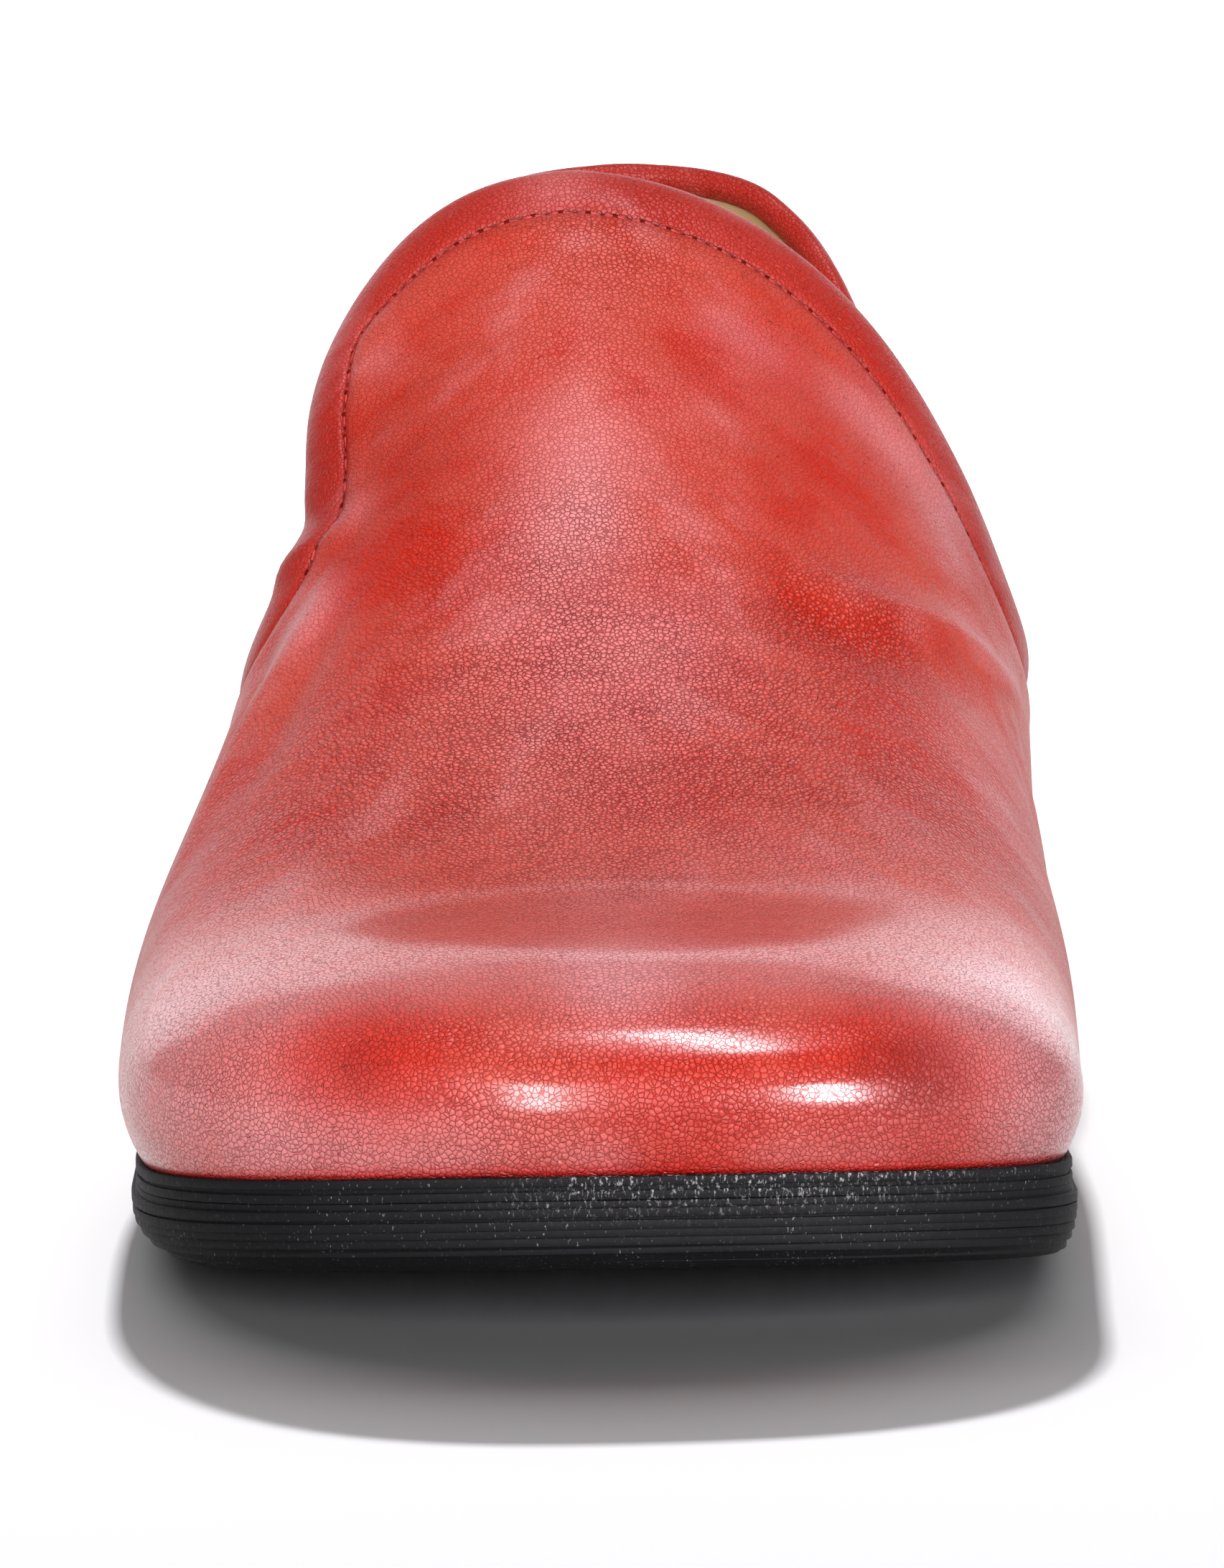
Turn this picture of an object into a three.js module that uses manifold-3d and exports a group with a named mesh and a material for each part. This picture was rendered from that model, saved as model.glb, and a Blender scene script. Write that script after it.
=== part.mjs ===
// A left loafer: a plain high vamp in red leather with a folded and stitched topline, on a ribbed rubber sole.
// Millimetres, +Z up. The shoe is drawn from its toe tip at y = 0 back to its heel, medial side towards -X.

import * as THREE from 'three';
import { mergeVertices } from 'three/addons/utils/BufferGeometryUtils.js';
import Module from 'manifold-3d';

const { degToRad, radToDeg } = THREE.MathUtils;

const wasm = await Module();
wasm.setup();

// Driving sizes of the whole shoe
const length = 270;
const wall = 2.2;
const gap = 0.3;

// The last, one row for each cross-section, at a distance behind the toe tip.
// medial, lateral: half widths at the widest line. belly: height of that line above the sole.
// crown: height of the ridge above the floor. ridge: sideways place of the ridge.
// full: share of its box that the section reaches at 45 degrees. tuck: how far it draws in at the sole.
// edge: how far the sole's edge lies inside the widest line.
const sections = [
  { at: 0, medial: 49.0, lateral: 47.0, belly: 6.0, crown: 36.0, ridge: -2.0, full: 0.765, tuck: 1.8, edge: -0.6 },
  { at: 30, medial: 49.3, lateral: 47.3, belly: 7.0, crown: 37.0, ridge: -2.0, full: 0.76, tuck: 2.2, edge: 0.8 },
  { at: 60, medial: 49.7, lateral: 48.0, belly: 9.0, crown: 42.0, ridge: -2.5, full: 0.74, tuck: 2.8, edge: 1.1 },
  { at: 85, medial: 48.2, lateral: 47.9, belly: 10.5, crown: 52.0, ridge: -3.0, full: 0.715, tuck: 4.0, edge: 1.3 },
  { at: 115, medial: 41.6, lateral: 46.2, belly: 15.5, crown: 70.5, ridge: -3.5, full: 0.705, tuck: 5.0, edge: 3.0 },
  { at: 150, medial: 34.4, lateral: 46.2, belly: 22.0, crown: 94.2, ridge: -3.0, full: 0.735, tuck: 6.0, edge: 5.0 },
  { at: 190, medial: 30.8, lateral: 40.5, belly: 19.0, crown: 108.0, ridge: 0.0, full: 0.745, tuck: 6.0, edge: 4.0 },
  { at: 230, medial: 27.5, lateral: 34.2, belly: 17.0, crown: 109.0, ridge: 3.0, full: 0.75, tuck: 4.5, edge: 2.2 },
  { at: 270, medial: 26.5, lateral: 31.5, belly: 15.0, crown: 104.0, ridge: 4.0, full: 0.75, tuck: 3.5, edge: 1.6 },
];

// How far back from each end the last takes to reach its full width and height
const toeRound = { medial: 48, lateral: 30, rise: 28 };
const heelRound = { plan: 50, rise: 62 };

// Height of the sole's top face behind the ball, before the toe spring is added
const soleRise = [
  { at: 0, height: 9.2 },
  { at: 60, height: 9.2 },
  { at: 112, height: 9.4 },
  { at: 150, height: 13.5 },
  { at: 190, height: 20.0 },
  { at: 230, height: 24.0 },
  { at: 270, height: 25.0 },
];
const soleThick = 9.2;
const toeSpring = { height: 9.5, reach: 75 };

// Layers of the sole: ribs run round the side of each
const midsole = { thick: 3.0, ribs: 3, ribDeep: 0.4, step: 0.5 };
const outsole = { ribs: 5, ribDeep: 0.45, roundMedial: 3.9, roundLateral: 1.4 };
const heel = { breast: 196, lean: 5, ribs: 5, ribDeep: 0.45, round: 1.6, leastHigh: 4 };
const insole = { thick: 2.5 };

// A soft swell on the medial side, where the collar stands away from the foot.
// round: its angle on the section. reachAt, reachRound: how far it spreads along the shoe and round the section.
const swell = { at: 132, round: 129, high: 2.8, reachAt: 10, reachRound: 12 };

// The topline seen from each side: over the vamp's throat, along the quarter and up to the back of the collar.
// On the medial side the vamp's corner lies further forward.
const toplineBack = [
  { at: 168, height: 42 },
  { at: 195, height: 45 },
  { at: 220, height: 51 },
  { at: 238, height: 60 },
  { at: 253, height: 72 },
  { at: 262, height: 77.5 },
  { at: 290, height: 86 },
];
const topline = {
  lateral: [
    { at: 154, height: 112 },
    { at: 150.5, height: 95 },
    { at: 146.6, height: 78 },
    { at: 142, height: 62 },
    { at: 140.5, height: 49 },
    { at: 150, height: 42.5 },
    ...toplineBack,
  ],
  medial: [
    { at: 154, height: 112 },
    { at: 150.5, height: 95 },
    { at: 143.5, height: 79 },
    { at: 134, height: 71 },
    { at: 124, height: 62 },
    { at: 120, height: 52 },
    { at: 126, height: 45 },
    { at: 143, height: 42.5 },
    ...toplineBack,
  ],
};
const throat = { at: 150, overlap: 0.5 };
const band = { wide: 7.4, proud: 0.9, inward: 1.0 };

// Fineness of the facets
const rows = 40;
const lowerAngles = [-90, -62, -42, -28, -14];
const upperStep = 10;
const soleStations = 36;
const layerStations = 30;
const mouthSteps = 56;
const loopSteps = 240;
const toplineSteps = 96;
const tubeSides = 14;

// How far cutting forms reach past the shoe
const past = { side: 90, end: 20, below: 60, above: 150 };

const leatherRed = { color: 0xb4433f, roughness: 0.42, metalness: 0 };
const rubberBlack = { color: 0x222225, roughness: 0.7, metalness: 0 };
const liningBeige = { color: 0xcdb083, roughness: 0.8, metalness: 0 };

// A smooth curve through the values of one column of a table
function column(table, key) {
  const xs = table.map((row) => row.at);
  const ys = table.map((row) => row[key]);
  const last = xs.length - 1;
  const bend = new Array(last + 1).fill(0);
  const carry = new Array(last + 1).fill(0);
  for (let i = 1; i < last; i++) {
    const before = xs[i] - xs[i - 1];
    const after = xs[i + 1] - xs[i];
    const slopeChange = (ys[i + 1] - ys[i]) / after - (ys[i] - ys[i - 1]) / before;
    const pivot = 2 * (before + after) - before * carry[i - 1];
    carry[i] = after / pivot;
    bend[i] = (6 * slopeChange - before * bend[i - 1]) / pivot;
  }
  for (let i = last - 1; i > 0; i--) bend[i] -= carry[i] * bend[i + 1];
  return (x) => {
    let i = 0;
    while (i < last - 1 && x > xs[i + 1]) i++;
    const span = xs[i + 1] - xs[i];
    const q = Math.min(Math.max(x, xs[0]), xs[last]);
    const a = (xs[i + 1] - q) / span;
    const b = (q - xs[i]) / span;
    const curve = ((a ** 3 - a) * bend[i] + (b ** 3 - b) * bend[i + 1]) * (span * span) / 6;
    return a * ys[i] + b * ys[i + 1] + curve;
  };
}

const last = Object.fromEntries(
  Object.keys(sections[0]).filter((key) => key !== 'at').map((key) => [key, column(sections, key)]),
);
const rise = column(soleRise, 'height');

// Top and bottom faces of the sole along its length
function soleTop(at) {
  const spring = toeSpring.height * Math.max(0, 1 - at / toeSpring.reach) ** 2;
  return rise(at) + spring;
}

function soleBottom(at) {
  return Math.max(0, soleTop(at) - soleThick);
}

// Share of the full size at a distance from a rounded end
function endShare(distance, reach) {
  const s = Math.min(Math.max(distance / reach, 0), 1);
  return Math.sqrt(1 - (1 - s) ** 3);
}

// A point of the last's skin, moved in by an inset. Angle 0 is lateral, 90 degrees the ridge, 180 medial.
function lastPoint(at, angle, inset) {
  const fromToe = at - inset;
  const fromHeel = length - inset - at;
  const heelPlan = endShare(fromHeel, heelRound.plan);
  const medialShare = Math.min(endShare(fromToe, toeRound.medial), heelPlan);
  const lateralShare = Math.min(endShare(fromToe, toeRound.lateral), heelPlan);
  const upShare = Math.min(endShare(fromToe, toeRound.rise), endShare(fromHeel, heelRound.rise));
  const downShare = Math.min(endShare(fromToe, toeRound.rise), heelPlan);

  const half = (last.medial(at) + last.lateral(at)) / 2 - inset;
  const middle = (last.lateral(at) - last.medial(at)) / 2;
  const belly = soleTop(at) + last.belly(at);
  const upper = Math.sin(angle) >= 0;
  const full = last.full(at);
  const square = upper ? (Math.SQRT1_2 - full) / (Math.SQRT1_2 + full) : 0;
  const across = (Math.cos(angle) + square * Math.cos(3 * angle)) / (1 + square);
  const up = (Math.sin(angle) - square * Math.sin(3 * angle)) / (1 + square);

  const sideways = across * (3 - across * across) / 2;
  const share = (lateralShare + medialShare) / 2 + sideways * (lateralShare - medialShare) / 2;
  const shear = upper ? (last.ridge(at) - middle) * up * up : 0;
  const drawIn = 1 - last.tuck(at) / (half + inset);
  const below = last.belly(at) / Math.sqrt(1 - drawIn * drawIn);
  const rising = (last.crown(at) - inset - belly) * upShare;
  const away = Math.hypot((at - swell.at) / swell.reachAt, (radToDeg(angle) - swell.round) / swell.reachRound);
  const swelling = swell.high * Math.exp(-(away ** 2));
  const x = middle + share * (half * across + shear) + swelling * Math.cos(angle);
  const z = belly + up * (upper ? rising : below * downShare) + swelling * Math.sin(angle);
  return new THREE.Vector3(x, at, z);
}

// Distances along the shoe, close together at both ends
function stationsAlong(count, inset) {
  const stations = [];
  for (let i = 0; i <= count; i++) {
    const t = i / count;
    stations.push(inset + (length - 2 * inset) * t * t * (3 - 2 * t));
  }
  return stations;
}

function meshGeometry(points, triangles) {
  const geometry = new THREE.BufferGeometry();
  geometry.setAttribute('position', new THREE.Float32BufferAttribute(points.flatMap((p) => p.toArray()), 3));
  geometry.setIndex(triangles.flat());
  return geometry;
}

// The closed form of the last, moved in by an inset
function lastForm(inset) {
  const degrees = [...lowerAngles];
  for (let a = 0; a <= 180; a += upperStep) degrees.push(a);
  for (const a of lowerAngles.slice(1).reverse()) degrees.push(180 - a);
  const angles = degrees.map((a) => degToRad(a));
  const ring = angles.length;
  const stations = stationsAlong(rows, inset).slice(1, -1);
  const points = [lastPoint(inset, 0, inset)];
  for (const at of stations) {
    for (const angle of angles) points.push(lastPoint(at, angle, inset));
  }
  points.push(lastPoint(length - inset, 0, inset));
  const heelEnd = points.length - 1;
  const index = (row, i) => 1 + row * ring + (i % ring);
  const triangles = [];
  for (let i = 0; i < ring; i++) {
    triangles.push([0, index(0, i), index(0, i + 1)]);
    for (let row = 0; row < stations.length - 1; row++) {
      triangles.push([index(row, i), index(row + 1, i), index(row + 1, i + 1)]);
      triangles.push([index(row, i), index(row + 1, i + 1), index(row, i + 1)]);
    }
    triangles.push([heelEnd, index(stations.length - 1, i + 1), index(stations.length - 1, i)]);
  }
  return solid(meshGeometry(points, triangles));
}

// Turn a closed surface into a solid with its faces outward
function solid(geometry) {
  geometry.deleteAttribute('normal');
  geometry.deleteAttribute('uv');
  const joined = mergeVertices(geometry, 1e-5);
  const vertProperties = new Float32Array(joined.attributes.position.array);
  const triVerts = new Uint32Array(joined.index.array);
  const corner = (i) => new THREE.Vector3().fromArray(vertProperties, 3 * triVerts[i]);
  let volume = 0;
  for (let t = 0; t < triVerts.length; t += 3) volume += corner(t).dot(corner(t + 1).cross(corner(t + 2)));
  if (volume < 0) {
    for (let t = 0; t < triVerts.length; t += 3) {
      [triVerts[t + 1], triVerts[t + 2]] = [triVerts[t + 2], triVerts[t + 1]];
    }
  }
  return new wasm.Manifold(new wasm.Mesh({ numProp: 3, vertProperties, triVerts }));
}

// A shape drawn in side view, distance along the shoe against height, carried across the shoe
function acrossShoe(outline, from = -past.side, to = past.side) {
  const shape = new THREE.Shape(outline.map((p) => new THREE.Vector2(p.at, p.height)));
  const geometry = new THREE.ExtrudeGeometry(shape, { depth: to - from, bevelEnabled: false });
  geometry.translate(0, 0, from);
  const basis = new THREE.Matrix4().makeBasis(
    new THREE.Vector3(0, 1, 0), new THREE.Vector3(0, 0, 1), new THREE.Vector3(1, 0, 0),
  );
  return solid(geometry.applyMatrix4(basis));
}

// Everything between two heights above the sole's top face
function layerOverSole(low, high) {
  const stations = stationsAlong(layerStations, -past.end);
  const under = stations.map((at) => ({ at, height: soleTop(at) + low }));
  const over = stations.map((at) => ({ at, height: soleTop(at) + high }));
  return acrossShoe([...under, ...over.reverse()]);
}

// Points of one side's topline, evenly fine
function toplineProfile(side, count) {
  const curve = new THREE.SplineCurve(topline[side].map((p) => new THREE.Vector2(p.at, p.height)));
  return curve.getSpacedPoints(count).map((p) => ({ at: p.x, height: p.y }));
}

// Half of the mouth of the shoe: all that lies above one side's topline
function mouth(side) {
  const profile = toplineProfile(side, mouthSteps);
  const first = profile[0];
  const end = profile[profile.length - 1];
  const outline = [...profile, { at: end.at, height: past.above }, { at: first.at, height: past.above }];
  const middle = last.ridge(throat.at);
  if (side === 'lateral') return acrossShoe(outline, middle - throat.overlap, past.side);
  return acrossShoe(outline, -past.side, middle + throat.overlap);
}

// The topline as a closed loop on the middle of the wall, from the heel along one side and back by the other
function toplineLoop() {
  const inset = wall / 2;
  const onSide = (side, start) => {
    const inside = toplineProfile(side, loopSteps).filter((p) => {
      if (p.at >= length - inset) return false;
      return lastPoint(p.at, Math.PI / 2, inset).z > p.height;
    });
    return inside.map((p) => {
      let low = start;
      let high = Math.PI / 2;
      for (let i = 0; i < 40; i++) {
        const mid = (low + high) / 2;
        if (lastPoint(p.at, mid, inset).z < p.height) low = mid;
        else high = mid;
      }
      return lastPoint(p.at, low, inset);
    });
  };
  return new THREE.CatmullRomCurve3([...onSide('lateral', -1).reverse(), ...onSide('medial', Math.PI + 1)], true);
}

// A tube round the topline, to part the folded edge from the rest
function tubeRoundTopline(radius) {
  const even = new THREE.CatmullRomCurve3(toplineLoop().getSpacedPoints(toplineSteps).slice(0, -1), true);
  return solid(new THREE.TubeGeometry(even, toplineSteps, radius, tubeSides, true));
}

// The sole's outline: the widest line of the last, moved in by its edge
function soleOutline() {
  const stations = stationsAlong(soleStations, 0);
  const lateral = stations.map((at) => lastPoint(at, 0, 0));
  const medial = stations.slice(1, -1).reverse().map((at) => lastPoint(at, Math.PI, 0));
  const loop = [...lateral, ...medial];
  return loop.map((p, i) => {
    const next = loop[(i + 1) % loop.length];
    const previous = loop[(i + loop.length - 1) % loop.length];
    const along = next.clone().sub(previous).setZ(0).normalize();
    const outward = new THREE.Vector3(along.y, -along.x, 0);
    return { place: p.clone().addScaledVector(outward, -last.edge(p.y)), outward };
  });
}

// A solid between rings that share the sole's outline. Each level gives an inset and a height at every point.
function ringSolid(outline, levels) {
  const count = outline.length;
  const points = [];
  for (const level of levels) {
    for (const { place, outward } of outline) {
      const p = place.clone().addScaledVector(outward, -level.inset(outward));
      points.push(p.setZ(level.height(p.y)));
    }
  }
  const triangles = [];
  const index = (level, i) => level * count + (i % count);
  for (let level = 0; level < levels.length - 1; level++) {
    for (let i = 0; i < count; i++) {
      triangles.push([index(level, i), index(level + 1, i), index(level + 1, i + 1)]);
      triangles.push([index(level, i), index(level + 1, i + 1), index(level, i + 1)]);
    }
  }
  const cap = (level, a, b, c) => {
    const corners = [index(level, a), index(level, b), index(level, c)];
    triangles.push(level === 0 ? corners : corners.reverse());
  };
  for (const level of [0, levels.length - 1]) {
    for (let i = 0; i < count / 2; i++) {
      if (i > 0) cap(level, i, i + 1, count - i);
      if (i < count / 2 - 1) cap(level, i + 1, count - i - 1, count - i);
    }
  }
  return solid(meshGeometry(points, triangles));
}

// Levels of a ribbed side, from the top down: crests stand on the outline, grooves lie behind it
function ribLevels({ ribs, ribDeep, top, bottom, step = 0, round = () => 0 }) {
  const levels = [];
  for (let i = 0; i <= 2 * ribs; i++) {
    const share = i / (2 * ribs);
    const groove = i % 2 === 1 ? ribDeep : 0;
    levels.push({
      inset: (outward) => step + groove + round(outward) * share ** 3,
      height: (at) => top(at) + (bottom(at) - top(at)) * share,
    });
  }
  return levels;
}

function makeMidsole(outline) {
  const bottom = (at) => soleTop(at) - midsole.thick;
  return ringSolid(outline, ribLevels({ ...midsole, top: soleTop, bottom }));
}

// Runner and heel block, moulded as one. The front of the heel leans under the arch.
function makeOutsole(outline) {
  const round = (outward) => {
    const towardsMedial = (1 - outward.x) / 2;
    return outsole.roundLateral + (outsole.roundMedial - outsole.roundLateral) * towardsMedial;
  };
  const top = (at) => soleTop(at) - midsole.thick - gap;
  const runner = ringSolid(outline, ribLevels({ ...outsole, top, bottom: soleBottom, round }));
  const lift = ringSolid(outline, ribLevels({
    ...heel,
    top: (at) => Math.max(soleTop(at) - midsole.thick - soleThick / 2, heel.leastHigh),
    bottom: () => 0,
    round: () => heel.round,
  }));
  const behindBreast = acrossShoe([
    { at: heel.breast + heel.lean, height: 0 },
    { at: length + past.end, height: 0 },
    { at: length + past.end, height: soleTop(length) },
    { at: heel.breast - heel.lean, height: soleTop(length) },
  ]);
  return runner.add(lift.intersect(behindBreast));
}

function makeInsole() {
  return lastForm(wall + gap).intersect(layerOverSole(gap, gap + insole.thick));
}

// A wall between two forms of the last, open at the mouth and along the sole
function openShell(outerInset, innerInset) {
  const shell = lastForm(outerInset).subtract(lastForm(innerInset));
  const open = shell.subtract(mouth('lateral')).subtract(mouth('medial'));
  return open.subtract(layerOverSole(-past.below, gap));
}

function makeUpper() {
  return openShell(0, wall).subtract(tubeRoundTopline(band.wide + gap));
}

function makeCollarBand() {
  return openShell(-band.proud, wall + band.inward).intersect(tubeRoundTopline(band.wide));
}

function part(name, manifold, look) {
  const mesh = manifold.getMesh();
  const geometry = new THREE.BufferGeometry();
  geometry.setAttribute('position', new THREE.BufferAttribute(new Float32Array(mesh.vertProperties), 3));
  geometry.setIndex(new THREE.BufferAttribute(new Uint32Array(mesh.triVerts), 1));
  geometry.computeVertexNormals();
  const piece = new THREE.Mesh(geometry, new THREE.MeshStandardMaterial(look));
  piece.name = name;
  return piece;
}

const outline = soleOutline();
const shoe = new THREE.Group();
shoe.add(
  part('outsole', makeOutsole(outline), rubberBlack),
  part('midsole', makeMidsole(outline), rubberBlack),
  part('insole', makeInsole(), liningBeige),
  part('upper', makeUpper(), leatherRed),
  part('collar_band', makeCollarBand(), leatherRed),
);

// The origin is under the middle of the shoe, on the floor
const box = new THREE.Box3().setFromObject(shoe);
const centre = box.getCenter(new THREE.Vector3());
shoe.position.set(-centre.x, -centre.y, -box.min.z);

const loafer = new THREE.Group();
loafer.name = 'loafer';
loafer.add(shoe);

export default loafer;
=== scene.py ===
import math

import bpy
import numpy as np
from mathutils import Matrix, Vector
from mathutils.bvhtree import BVHTree


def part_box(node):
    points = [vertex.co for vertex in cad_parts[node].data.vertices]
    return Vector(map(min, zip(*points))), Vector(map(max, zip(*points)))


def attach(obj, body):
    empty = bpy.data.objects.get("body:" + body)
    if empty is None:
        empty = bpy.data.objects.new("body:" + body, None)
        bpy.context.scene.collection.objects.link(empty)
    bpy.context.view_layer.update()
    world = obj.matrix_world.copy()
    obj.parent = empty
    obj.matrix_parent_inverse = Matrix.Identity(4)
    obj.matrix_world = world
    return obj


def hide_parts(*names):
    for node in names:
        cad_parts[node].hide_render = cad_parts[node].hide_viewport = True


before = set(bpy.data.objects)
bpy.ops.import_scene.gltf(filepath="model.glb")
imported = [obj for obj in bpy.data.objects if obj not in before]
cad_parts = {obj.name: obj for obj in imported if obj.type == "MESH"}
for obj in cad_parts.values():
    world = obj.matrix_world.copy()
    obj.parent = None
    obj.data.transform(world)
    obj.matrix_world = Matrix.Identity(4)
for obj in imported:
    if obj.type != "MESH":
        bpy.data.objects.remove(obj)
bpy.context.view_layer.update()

mm = 0.001
print("frame loaded, nodes:", sorted(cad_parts))


# The last. Everything is drawn in millimetres from the toe tip:
# at runs back to the heel, x is lateral, z is up.
last = {
    "length": 270,
    "toeRound": {"medial": 48, "lateral": 30, "rise": 28},
    "heelRound": {"plan": 50, "rise": 62},
    "toeSpring": {"height": 9.5, "reach": 75},
    "soleThick": 9.2,
    # half widths at the widest line, its height over the sole, height and place of the ridge,
    # squareness of the section, tuck at the sole, inset of the sole's edge
    "columns": ("at", "medial", "lateral", "belly", "crown", "ridge", "full", "tuck", "edge"),
    "sections": [
        (0, 49.0, 47.0, 6.0, 36.0, -2.0, 0.765, 1.8, -0.6),
        (30, 49.3, 47.3, 7.0, 37.0, -2.0, 0.76, 2.2, 0.8),
        (60, 49.7, 48.0, 9.0, 42.0, -2.5, 0.74, 2.8, 1.1),
        (85, 48.2, 47.9, 10.5, 52.0, -3.0, 0.715, 4.0, 1.3),
        (115, 41.6, 46.2, 15.5, 70.5, -3.5, 0.705, 5.0, 3.0),
        (150, 34.4, 46.2, 22.0, 94.2, -3.0, 0.735, 6.0, 5.0),
        (190, 30.8, 40.5, 19.0, 108.0, 0.0, 0.745, 6.0, 4.0),
        (230, 27.5, 34.2, 17.0, 109.0, 3.0, 0.75, 4.5, 2.2),
        (270, 26.5, 31.5, 15.0, 104.0, 4.0, 0.75, 3.5, 1.6),
    ],
    "soleRise": [(0, 9.2), (60, 9.2), (112, 9.4), (150, 13.5), (190, 20.0), (230, 24.0), (270, 25.0)],
    # a swell on the medial side, where the collar stands away from the foot
    "swell": {"at": 132, "round": 129, "high": 2.8, "reachAt": 10, "reachRound": 12},
    # the topline from each side (at, z): throat and quarter, then the back of the collar
    "topline": {
        "lateral": [(154, 112), (150.5, 95), (146.6, 78), (142, 62), (140.5, 49), (150, 42.5)],
        "medial": [(154, 112), (150.5, 95), (143.5, 79), (134, 71), (124, 62), (120, 52),
                   (126, 45), (143, 42.5)],
        "back": [(168, 42), (195, 45), (220, 51), (238, 60), (253, 72), (262, 77.5), (290, 86)],
    },
}


def column(places, values):
    # natural cubic spline through one column, held flat outside its ends
    xs = np.array(places, float)
    ys = np.array(values, float)
    spans = np.diff(xs)
    slopes = np.diff(ys) / spans
    system = np.eye(len(xs))
    turns = np.zeros(len(xs))
    for i in range(1, len(xs) - 1):
        system[i, i - 1:i + 2] = spans[i - 1], 2 * (spans[i - 1] + spans[i]), spans[i]
        turns[i] = 6 * (slopes[i] - slopes[i - 1])
    bend = np.linalg.solve(system, turns)

    def value(at):
        q = np.clip(at, xs[0], xs[-1])
        i = np.clip(np.searchsorted(xs, q) - 1, 0, len(spans) - 1)
        a = (xs[i + 1] - q) / spans[i]
        b = (q - xs[i]) / spans[i]
        curve = ((a ** 3 - a) * bend[i] + (b ** 3 - b) * bend[i + 1]) * spans[i] ** 2 / 6
        return a * ys[i] + b * ys[i + 1] + curve

    return value


sectionColumns = list(zip(*last["sections"]))
lastCurve = {
    name: column(sectionColumns[0], values)
    for name, values in zip(last["columns"][1:], sectionColumns[1:])
}
soleRise = column(*zip(*last["soleRise"]))


def soleTop(at):
    spring = last["toeSpring"]
    return soleRise(at) + spring["height"] * np.maximum(0, 1 - at / spring["reach"]) ** 2


def soleBottom(at):
    return np.maximum(0, soleTop(at) - last["soleThick"])


def widestHeight(at):
    return soleTop(at) + lastCurve["belly"](at)


def belowWidest(at):
    # depth of the oval that the section follows below its widest line
    half = (lastCurve["medial"](at) + lastCurve["lateral"](at)) / 2
    drawIn = 1 - lastCurve["tuck"](at) / half
    return lastCurve["belly"](at) / np.sqrt(1 - drawIn ** 2)


def squareness(at):
    full = lastCurve["full"](at)
    return (math.sqrt(0.5) - full) / (math.sqrt(0.5) + full)


def endShare(distance, reach):
    s = np.clip(distance / reach, 0, 1)
    return np.sqrt(1 - (1 - s) ** 3)


def lastPoint(at, angle):
    # a point of the last's skin: angle 0 is lateral, a quarter turn the ridge, half a turn medial
    at, angle = np.broadcast_arrays(np.asarray(at, float), np.asarray(angle, float))
    toe, heel = last["toeRound"], last["heelRound"]
    fromHeel = last["length"] - at
    heelPlan = endShare(fromHeel, heel["plan"])
    toeRise = endShare(at, toe["rise"])
    medialShare = np.minimum(endShare(at, toe["medial"]), heelPlan)
    lateralShare = np.minimum(endShare(at, toe["lateral"]), heelPlan)
    upShare = np.minimum(toeRise, endShare(fromHeel, heel["rise"]))
    downShare = np.minimum(toeRise, heelPlan)
    medial, lateral = lastCurve["medial"](at), lastCurve["lateral"](at)
    half = (medial + lateral) / 2
    middle = (lateral - medial) / 2
    above = np.sin(angle) >= 0
    square = np.where(above, squareness(at), 0)
    across = (np.cos(angle) + square * np.cos(3 * angle)) / (1 + square)
    up = (np.sin(angle) - square * np.sin(3 * angle)) / (1 + square)
    bias = across * (3 - across ** 2) / 2
    share = (lateralShare + medialShare) / 2 + bias * (lateralShare - medialShare) / 2
    shear = np.where(above, (lastCurve["ridge"](at) - middle) * up ** 2, 0)
    rising = (lastCurve["crown"](at) - widestHeight(at)) * upShare
    z = widestHeight(at) + up * np.where(above, rising, belowWidest(at) * downShare)
    return np.stack([middle + share * (half * across + shear), at, z], -1)


def swelling(at, angle):
    # how the medial swell moves the skin
    swell = last["swell"]
    awayAt = (at - swell["at"]) / swell["reachAt"]
    awayRound = (np.degrees(angle) - swell["round"]) / swell["reachRound"]
    high = swell["high"] * np.exp(-np.hypot(awayAt, awayRound) ** 2)
    return np.stack([high * np.cos(angle), 0 * high, high * np.sin(angle)], -1)


def halving(low, high, staysBelow, rounds=45):
    # narrow two bounds to where a condition turns false
    for _ in range(rounds):
        mid = (low + high) / 2
        below = staysBelow(mid)
        low = np.where(below, mid, low)
        high = np.where(below, high, mid)
    return low


def medialAngle(points):
    # angle round the section of points above the widest line, taken as lying on the medial side
    at = points[..., 1]
    belly = widestHeight(at)
    up = (points[..., 2] - belly) / (lastCurve["crown"](at) - belly)
    square = squareness(at)
    return halving(np.full(at.shape, math.pi / 2), np.full(at.shape, math.pi),
                   lambda mid: np.sin(mid) - square * np.sin(3 * mid) > up * (1 + square))


def footAngle(at, lift):
    # angle below the widest line where the skin comes down to a height over the sole
    reach = np.minimum(endShare(at, last["toeRound"]["rise"]),
                       endShare(last["length"] - at, last["heelRound"]["plan"]))
    drop = (lift - lastCurve["belly"](at)) / np.maximum(belowWidest(at) * reach, 1e-6)
    return np.arcsin(np.clip(drop, -1, 1))


# Place of the drawing in the frame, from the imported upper's box
upperLow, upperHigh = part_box("upper")
stations = np.linspace(0, last["length"], 2001)
originShift = np.array([
    upperHigh.x / mm - lastPoint(stations, 0.0)[:, 0].max(),
    upperLow.y / mm,
    0.0,
])


def toWorld(points):
    return (np.asarray(points, float) + originShift) * mm


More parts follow.
